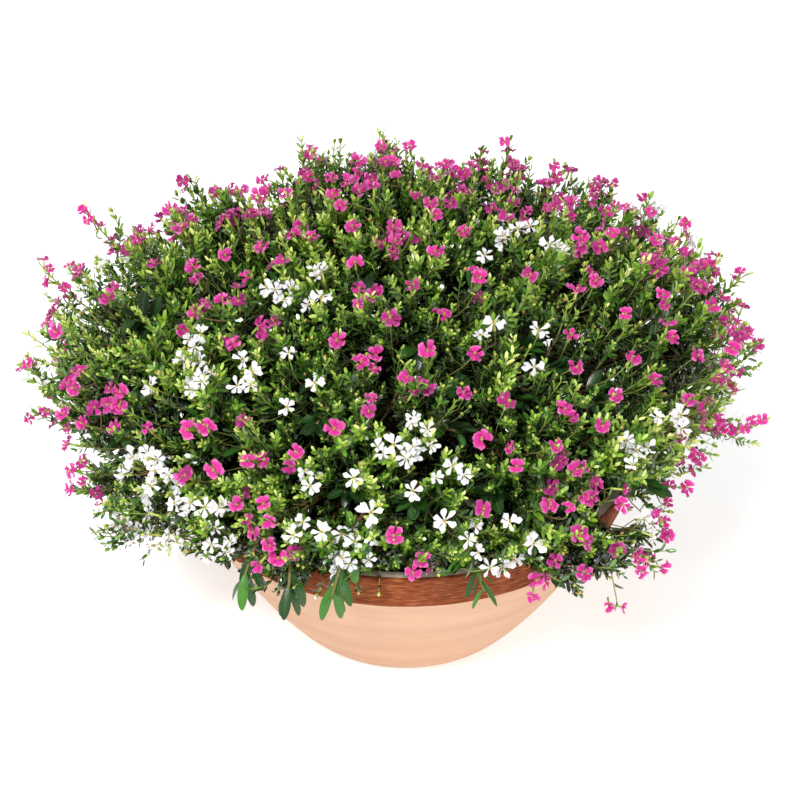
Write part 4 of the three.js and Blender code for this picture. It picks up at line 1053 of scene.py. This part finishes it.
KINDS, OPEN_KINDS = 8, 6
MAGENTA_RADIUS, WHITE_RADIUS = 6.3, 7.0
MAGENTA_KINDS = flower_kinds(MAGENTA_WIDTHS, MAGENTA_RADIUS, 1.1, 0.15, 0.75, 300)
WHITE_KINDS = flower_kinds(WHITE_WIDTHS, WHITE_RADIUS, 0.95, 0.12, 0.7, 320)
EYE = eye(5)
print("a flower has", len(MAGENTA_KINDS[0][1]) + len(EYE[1]), "triangles without its tube")

# %% [markdown]
# ## Sprays
# Each flower of the solids is dressed where it stands. Beside many of them sit smaller ones, lower on
# the same stalk, because a heather opens its flowers one after another. Some sprays are rich and some poor.

# %% Flowers beside the first ones
PETAL_SKIN, EYE_SKIN, TUBE_SKIN, STALK_SKIN = range(4)
TUBE_AT = np.array([0.3, -0.9, -2.6, -4.6, -6.4, -7.6])
TUBE_WIDE = np.array([1.2, 0.9, 0.8, 0.95, 1.1, 0.5])
TO_LIGHT = np.array([0.0, -0.75, 0.5])
LEAFY_SPIKES = (2, 3, 18)
MOST_BESIDE = 5
spray_rng = np.random.default_rng(77)


def has_room(at):
    """Whether a further flower can sit at a point."""
    bare = in_clay(at, 9.0) or in_gap(at) or (at[0] < -185 and at[2] < 165)
    return not bare and depth_share(at) < 1.03 - 0.25 * hollow_at(at)


def neighbours(bloom, richness):
    """Some smaller flowers beside one, as (at, axis, size, where its stalk starts)."""
    made = []
    for _ in range(min(MOST_BESIDE, spray_rng.poisson(richness))):
        axis = bloom["axis"]
        aside = spray_rng.normal(0, 1, 3) - 0.5 * UP
        aside = unit(aside - axis * (aside @ axis))
        at = bloom["at"] + aside * spray_rng.uniform(7, 12.5) - axis * spray_rng.uniform(0.0, 5.0)
        faces = axis + 0.5 * spray_rng.normal(0, 1, 3) + 0.4 * TO_LIGHT
        faces = unit(faces + (0.9 * aside if spray_rng.random() < 0.35 else 0))
        if has_room(at):
            made.append((at, faces, bloom["size"] * spray_rng.uniform(0.68, 0.98), bloom["at"] - 15 * axis))
    return made


print("a flower has up to", MOST_BESIDE, "smaller ones beside it")

# %% Flowers up the shoots that stand out, and all of a spray's flowers
def spike_flowers(tip, way):
    """A few small flowers up the last part of a shoot that stands out."""
    made = []
    for down in (1.0, 8.0, 15.0, 23.0, 31.0)[:spray_rng.integers(2, 6)]:
        aside = spray_rng.normal(0, 1, 3)
        aside = unit(aside - way * (aside @ way))
        at = tip - way * down + aside * spray_rng.uniform(3, 6)
        faces = unit(0.6 * way + 0.8 * aside + 0.6 * TO_LIGHT)
        made.append((at, faces, spray_rng.uniform(0.62, 0.85), tip - way * (down + 9)))
    return made


def spray_heads(j, fork):
    """Every flower of a spray, those of the solid first."""
    s = sprays[j]
    richness = spray_rng.uniform(2.4, 3.6) if s["white"] else spray_rng.uniform(0.7, 2.7)
    heads = []
    for i in s["members"]:
        b = blooms[i]
        size = b["size"] * spray_rng.uniform(0.8, 1.06)
        heads.append((b["at"], unit(b["axis"] + 0.3 * TO_LIGHT), size, fork))
    for i in s["members"]:
        heads += neighbours(blooms[i], richness)
    for spike in np.flatnonzero(spike_owner == j):
        if spike not in LEAFY_SPIKES:
            heads += spike_flowers(SPIKES[spike], spike_ways[spike])
    return heads


spike_ways = pointing[-len(SPIKES):]
magenta_seeds = seeds[len(WHITE_SPRAYS):]
spike_owner = len(WHITE_SPRAYS) + np.argmax(unit(SPIKES - CENTRE) @ magenta_seeds.T, 1)
print(len(SPIKES) - len(LEAFY_SPIKES), "shoots that stand out carry flowers to their tips")

# %% Sprays of flowers on their forked stalks
flower_count = 0
for j, s in enumerate(sprays):
    growth = Growth()
    mean = float(np.mean([np.linalg.norm(blooms[i]["from"]) for i in s["members"]]))
    fork = drooped(CENTRE + 0.7 * mean * s["way"])
    fork[2] = max(fork[2], 142)
    at, axes, sizes, starts = (np.array(column) for column in zip(*spray_heads(j, fork)))
    n, own = len(at), len(s["members"])
    turns = [blooms[i]["turn"] for i in s["members"]]
    turns = np.concatenate([turns, spray_rng.random(n - own) * 2 * math.pi])
    chosen = spray_rng.integers(0, KINDS, n)
    chosen[:own] %= OPEN_KINDS
    # a random darkening for each flower: partly its own tone, partly painted shade of flowers in shade
    shades = np.clip(spray_rng.normal(0.18, 0.26, n), 0, 0.8)
    side, scale = side_ways(axes, turns), sizes[:, None]
    ways = side * scale, np.cross(axes, side) * scale, axes * scale
    for kind in range(KINDS):
        w = chosen == kind
        if w.any():
            template = (WHITE_KINDS if s["white"] else MAGENTA_KINDS)[kind]
            stamp(growth, template, PETAL_SKIN, at[w], [way[w] for way in ways], shades[w])
    stamp(growth, EYE, EYE_SKIN, at, ways, 0.0)
    tube = at[:, None] + axes[:, None] * TUBE_AT[None, :, None]
    tone = np.linspace(0.6, 0.05, 6)[None] + spray_rng.normal(0, 0.12, (n, 1))
    tubes(growth, TUBE_SKIN, tube, TUBE_WIDE[None] * scale, 5, np.clip(tone, 0, 1))
    # a stalk from the fork to each tube, and one from the nearest branch to the fork
    ends = tube[:, -1]
    pull = ends - axes * (0.45 * np.linalg.norm(ends - starts, axis=1))[:, None]
    stems(growth, STALK_SKIN, (starts, pull, ends), 6, (0.55, 0.35), 3, (0.4, 0.75))
    _, root = branch_near(fork)
    stalk = root[None], (0.5 * (root + fork))[None], fork[None]
    stems(growth, STALK_SKIN, stalk, 6, (1.3, 0.9), 6, (0.3, 0.6))
    slot, petal = ("white_petal", white_petal) if s["white"] else ("magenta_petal", magenta_petal)
    growth.piece(s["name"] + "_flowers", [petal, eye_skin, bud_skin, stem_skin], slot, s["name"])
    flower_count += n
print(flower_count, "flowers in all")

# %% [markdown]
# ## The bowl
# The bowl was thrown on a wheel: a smooth pale body, and under the rim a red band combed with fine grooves.
# A profile turned round the axis gives it, as the wheel did. The grooves are real steps in the profile.
# The drain holes are cut through the floor afterwards.

# %% Clay
def clay_material(name, base, pale, dark, streak_wide, streak_high, grain, bump_mm):
    """Unglazed clay; streaks and grit are given as so many to a metre, so 1000 is one to each millimetre."""
    material, tree = new_material(name)
    place = add_node(tree, "TexCoord").outputs["Object"]
    scale = {"Scale": (streak_wide, streak_wide, streak_high)}
    long_streaks = add_node(tree, "Mapping", scale, {"Vector": place})
    noise = {"Scale": 1.0, "Detail": 5.0, "Roughness": 0.6}
    streaks = add_node(tree, "TexNoise", noise, {"Vector": long_streaks})
    grit = add_node(tree, "TexNoise", {"Scale": grain, "Detail": 4.0, "Roughness": 0.7}, {"Vector": place})
    stops = [(0.3, dark), (0.5, base), (0.72, pale)]
    streaked = add_node(tree, "ValToRGB", links={0: streaks}, stops=stops)
    edges = {"From Min": 0.56, "From Max": 0.72, "To Min": 0.0, "To Max": 0.45}
    specks = add_node(tree, "MapRange", edges, {"Value": grit})
    colour = add_node(tree, "Mix", {7: linear(dark)}, {0: specks, 6: streaked}, data_type="RGBA")
    rough = add_node(tree, "Math", {}, {0: grit, 1: streaks}, operation="ADD")
    bump = add_node(tree, "Bump", {"Strength": 0.7, "Distance": bump_mm * MM}, {"Height": rough})
    end_material(tree, colour.outputs[2], {"Roughness": 0.88, "Specular IOR Level": 0.3}, bump)
    return material


PALE, RED, LIME, WORN = range(4)
# the grit in the clay is finer than half a millimetre, and is drawn 1 to 3 mm wide so that it shows
CLAYS = [
    clay_material("unglazed_pale_terracotta", "#C49E82", "#CCA88C", "#BC9478", 6.0, 60.0, 900.0, 0.25),
    clay_material("combed_red_terracotta", "#8A401C", "#B06C3C", "#5E2C14", 130.0, 900.0, 1300.0, 1.8),
    clay_material("lime_stained_inner_wall", "#DCCFBC", "#ECE2D2", "#AC9C88", 6.0, 60.0, 500.0, 0.5),
    clay_material("worn_foot_edge_clay", "#BFA584", "#D2BC98", "#9A7C5C", 6.0, 300.0, 350.0, 1.2),
]
print("made", len(CLAYS), "clays")

# %% Bowl profile
GROOVE_STEP = 0.8
GROOVE_DEPTH = 0.26
DEEPER = 0.1


def bowl_profile():
    """(radius, height, clay) rows from the middle of the foot, out and up, over the rim and down inside."""
    rows = [(0.0, 0.0, PALE), (40.0, 0.0, PALE)]
    rows += [(FOOT_RADIUS - 1.5, 0.0, WORN), (FOOT_RADIUS - 0.4, 0.4, WORN), (FOOT_RADIUS + 0.4, 1.6, WORN)]
    rows += [(float(outer_radius(z)), z, WORN) for z in (3.0, 5.2)]
    rows += [(float(outer_radius(z - 0.001)), float(z), PALE) for z in np.linspace(8.0, BAND_BOTTOM, 25)]
    rows += [(BAND_RADIUS - 0.5, BAND_BOTTOM + 0.2, RED), (BAND_RADIUS, BAND_BOTTOM + 0.9, RED)]
    for i, z in enumerate(np.arange(BAND_BOTTOM + 1.8, BOWL_HEIGHT - 2.5, GROOVE_STEP)):
        # every other row is the floor of a groove, and each third groove is deeper
        depth = (0.0, GROOVE_DEPTH + DEEPER * (i % 6 == 1))[i % 2]
        rows.append((float(outer_radius(z)) - depth, float(z), RED))
    rows += [(RIM_RADIUS, BOWL_HEIGHT - 2.0, RED), (RIM_RADIUS - 0.6, BOWL_HEIGHT - 0.7, RED)]
    inner = RIM_RADIUS - WALL
    rows += [(RIM_RADIUS - 2.0, BOWL_HEIGHT, RED), (inner + 2.0, BOWL_HEIGHT, LIME)]
    rows += [(inner + 0.6, BOWL_HEIGHT - 0.7, LIME), (inner, BOWL_HEIGHT - 2.0, LIME)]
    for z in np.linspace(BOWL_HEIGHT - 6, FLOOR + 1, 16):
        rows.append((float(outer_radius(z)) - WALL, float(z), LIME))
    return rows + [(60.0, float(FLOOR), LIME), (0.0, float(FLOOR), LIME)]


print("the bowl's profile has", len(bowl_profile()), "rows")

# %% Turning the profile
BOWL_SIDES = 160
HOLE_SIDES = 24
WHEEL_WOBBLE = 0.12
GROOVE_SWELL = 0.18


def turned(name, rows, sides, wobble):
    """Turns a profile round the Z axis into a closed mesh."""
    mesh = bpy.data.meshes.new(name)
    points, faces, clays, rings = [], [], [], []
    waves = np.random.default_rng(9).random(8) * ANY_TURN
    for radius, z, clay in rows:
        if radius == 0:
            rings.append([len(points)])
            points.append((0, 0, z * MM))
            continue
        rings.append(range(len(points), len(points) + sides))
        for i in range(sides):
            a = 2 * math.pi * i / sides
            r = math.sin(3 * a + waves[0] + z * 0.05) + 0.6 * math.sin(7 * a + waves[1] + z * 0.11)
            r = radius + wobble * r
            if clay == RED:
                # the comb's teeth did not dig evenly, so each groove swells and fades on its way round
                r -= GROOVE_SWELL * (1 + math.sin(31 * a + 5 * z) * math.sin(13 * a + 9 * z))
            points.append((r * math.cos(a) * MM, r * math.sin(a) * MM, z * MM))
    for low, high, row in zip(rings, rings[1:], rows[1:]):
        for i in range(sides):
            k = (i + 1) % sides
            if len(low) == 1:
                faces.append((low[0], high[k], high[i]))
            elif len(high) == 1:
                faces.append((low[i], low[k], high[0]))
            else:
                faces.append((low[i], low[k], high[k], high[i]))
            clays.append(row[2])
    mesh.from_pydata(points, [], faces)
    mesh.polygons.foreach_set("material_index", clays)
    mesh.update()
    made = bpy.data.objects.new(name, mesh)
    bpy.context.scene.collection.objects.link(made)
    return made


bowl = turned("bowl_thrown_clay", bowl_profile(), BOWL_SIDES, WHEEL_WOBBLE)
for clay in CLAYS:
    bowl.data.materials.append(clay)
print("the turned bowl has", len(bowl.data.polygons), "faces before its holes are cut")

# %% Drain holes
cutters = []
for i in range(DRAIN_COUNT):
    a = 2 * math.pi * (i + 0.5) / DRAIN_COUNT
    rows = [(0.0, -3.0, PALE), (DRAIN_RADIUS, -3.0, PALE)]
    rows += [(DRAIN_RADIUS, FLOOR + 3.0, PALE), (0.0, FLOOR + 3.0, PALE)]
    cutter = turned(f"drain_cutter_{i}", rows, HOLE_SIDES, 0.0)
    cutter.location = (DRAIN_FROM_AXIS * math.cos(a) * MM, DRAIN_FROM_AXIS * math.sin(a) * MM, 0)
    cut = bowl.modifiers.new(f"drain_{i}", "BOOLEAN")
    cut.operation, cut.solver, cut.object = "DIFFERENCE", "EXACT", cutter
    cutters.append(cutter)
bpy.context.view_layer.update()
finished = bpy.data.meshes.new_from_object(bowl.evaluated_get(bpy.context.evaluated_depsgraph_get()))
bowl.modifiers.clear()
bowl.data = finished
for cutter in cutters:
    bpy.data.objects.remove(cutter)
for face in bowl.data.polygons:
    face.use_smooth = abs(face.normal.z) < 0.9 and face.material_index != RED
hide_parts("bowl")
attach(bowl, "root")
print("the bowl has", len(bowl.data.polygons), "faces and", len(bowl.data.materials), "clays")

# %% [markdown]
# ## The soil
# Potting soil is dark, fibrous and lumpy. Its top is a turned profile pushed up and down by a few waves,
# with nine hundred crumbs scattered on it so that its surface breaks up from any side.

# %% Soil's material
def soil_material():
    material, tree = new_material("damp_peat_potting_soil")
    # 260 to a metre: lumps and fibres of some 4 mm
    place = add_node(tree, "TexCoord").outputs["Object"]
    noise = {"Scale": 260.0, "Detail": 6.0, "Roughness": 0.7}
    lumps = add_node(tree, "TexNoise", noise, {"Vector": place})
    stops = [(0.3, "#140D08"), (0.52, "#2E2017"), (0.7, "#4A3424"), (0.8, "#6B5038")]
    brown = add_node(tree, "ValToRGB", links={0: lumps}, stops=stops)
    bump = add_node(tree, "Bump", {"Strength": 0.9, "Distance": 0.002}, {"Height": lumps})
    end_material(tree, brown, {"Roughness": 0.95, "Specular IOR Level": 0.2}, bump)
    return material


peat = soil_material()
print("made", peat.name)

# %% Soil's body
def soil_top(share):
    """The soil's height at a share of its radius: domed, highest in the middle."""
    return SOIL_EDGE + (SOIL_MIDDLE - SOIL_EDGE) * (1 - share ** 2)


SOIL_SIDES, SOIL_RINGS = 96, 22
SEAT = 0.35
WAVES, WAVE_HEIGHT = 10, 0.45
growth = Growth()
soil_rng = np.random.default_rng(31)
heights = (FLOOR + SEAT, 40.0, 84.0, SOIL_EDGE)
levels = [(0.0, FLOOR + SEAT)] + [(float(outer_radius(z)) - WALL - SEAT, z) for z in heights]
top_radius = levels[-1][0]
levels += [(top_radius * (1 - j / SOIL_RINGS), soil_top(1 - j / SOIL_RINGS)) for j in range(1, SOIL_RINGS)]
levels.append((0.0, SOIL_MIDDLE))
turns = 2 * math.pi * np.arange(SOIL_SIDES) / SOIL_SIDES
points = np.array([[(r * math.cos(a), r * math.sin(a), z) for a in turns] for r, z in levels])
top = points[len(heights) + 1:]
for gx, gy in soil_rng.normal(0, 1, (WAVES, 2)) * 0.12:
    shift = WAVE_HEIGHT * np.sin(top[..., 0] * gx + top[..., 1] * gy + soil_rng.random() * ANY_TURN)
    # the waves die out over the last 12 mm before the bowl's wall
    top[..., 2] += shift * np.minimum(1, (top_radius - np.hypot(top[..., 0], top[..., 1])) / 12)
faces = grid_faces(len(levels), SOIL_SIDES, True)
# at the two ends of the axis a ring shrinks to a point, and half of its triangles go
a, b, c = (points.reshape(-1, 3)[faces[:, k]] for k in range(3))
faces = faces[np.linalg.norm(np.cross(b - a, c - a), axis=1) > 1e-6]
growth.add(points, faces, 0, np.zeros((points.size // 3, 3)))
print("the soil's body has", len(faces), "triangles")

# %% Crumbs
CRUMBS = 900
share = np.sqrt(soil_rng.random(CRUMBS)) * 0.98
angle = soil_rng.random(CRUMBS) * 2 * math.pi
flat = top_radius * share
where = np.stack([flat * np.cos(angle), flat * np.sin(angle), soil_top(share)], -1)
size = soil_rng.uniform(1.2, 4.0, (CRUMBS, 1))
x, y, z = three_ways(unit(soil_rng.normal(0, 1, (CRUMBS, 3))), unit(soil_rng.normal(0, 1, (CRUMBS, 3))))
wide = size * soil_rng.uniform(0.6, 1.0, (CRUMBS, 1))
stamp(growth, BUD, 0, where - y * size / 2, (wide * x, size * y, size * z), 0.0)
growth.piece("soil_peat_and_crumbs", [peat], "soil", "soil")

# %% [markdown]
# ## Floor, light and camera
# The photograph is a cut-out on white with a faint shadow, taken from about 33 degrees above.
# A wide white floor, an even white sky, a bright soft lamp from the upper left and a weak one from the
# right give that.

# %% Studio
scene = bpy.context.scene
floor_mesh = bpy.data.meshes.new("studio_floor")
# half the floor's side, in metres; the lamps' places are in metres too
half = 6.0
corners = [(-half, -half, 0), (half, -half, 0), (half, half, 0), (-half, half, 0)]
floor_mesh.from_pydata(corners, [], [(0, 1, 2, 3)])
floor = bpy.data.objects.new("studio_floor", floor_mesh)
scene.collection.objects.link(floor)
paper, tree = new_material("matt_white_paper")
glow = {"Emission Color": (1.0, 1.0, 1.0, 1.0), "Emission Strength": 0.5}
matt = {"Base Color": linear("#F4F4F4"), "Roughness": 1.0, "Specular IOR Level": 0.0}
sheet = add_node(tree, "BsdfPrincipled", matt | glow)
add_node(tree, "OutputMaterial", links={"Surface": sheet})
floor.data.materials.append(paper)

world = bpy.data.worlds.new("even_white_sky")
scene.world = world
world.use_nodes = True
sky = world.node_tree.nodes["Background"].inputs
sky["Color"].default_value = (1.0, 1.0, 1.0, 1.0)
sky["Strength"].default_value = 0.45

LAMP_TARGET = np.array([0, 0, 0.15])


def soft_lamp(name, place, size, power):
    """A square lamp that looks at the bowl's top."""
    lamp = bpy.data.lights.new(name, "AREA")
    lamp.energy, lamp.size = power, size
    made = bpy.data.objects.new(name, lamp)
    scene.collection.objects.link(made)
    made.location = place
    away = np.array(place) - LAMP_TARGET
    pitch = math.acos(away[2] / np.linalg.norm(away))
    made.rotation_euler = (pitch, 0, math.atan2(away[1], away[0]) + math.pi / 2)


soft_lamp("key_softbox", (-0.7, -1.7, 2.3), 0.7, 78.0)
soft_lamp("front_fill", (1.2, -2.2, 1.3), 1.2, 22.0)
print("the studio has", len(bpy.data.lights), "lamps")

# %% Camera
VIEW_HEIGHT = math.radians(33.2)
DISTANCE = 1600
TARGET = (-3.9, 0.0, 162.7)
FOCAL_PIXELS = 2486
PICTURE_PIXELS = 800
camera = bpy.data.cameras.new("camera")
camera.sensor_width = 36.0
camera.lens = FOCAL_PIXELS * camera.sensor_width / PICTURE_PIXELS
camera_at = bpy.data.objects.new("camera", camera)
scene.collection.objects.link(camera_at)
x, y, z = TARGET
y, z = y - DISTANCE * math.cos(VIEW_HEIGHT), z + DISTANCE * math.sin(VIEW_HEIGHT)
camera_at.location = (x * MM, y * MM, z * MM)
camera_at.rotation_euler = (math.pi / 2 - VIEW_HEIGHT, 0, 0)
scene.camera = camera_at
scene.view_settings.view_transform = "Standard"
print("the camera is", DISTANCE, "mm from the middle of the mound")
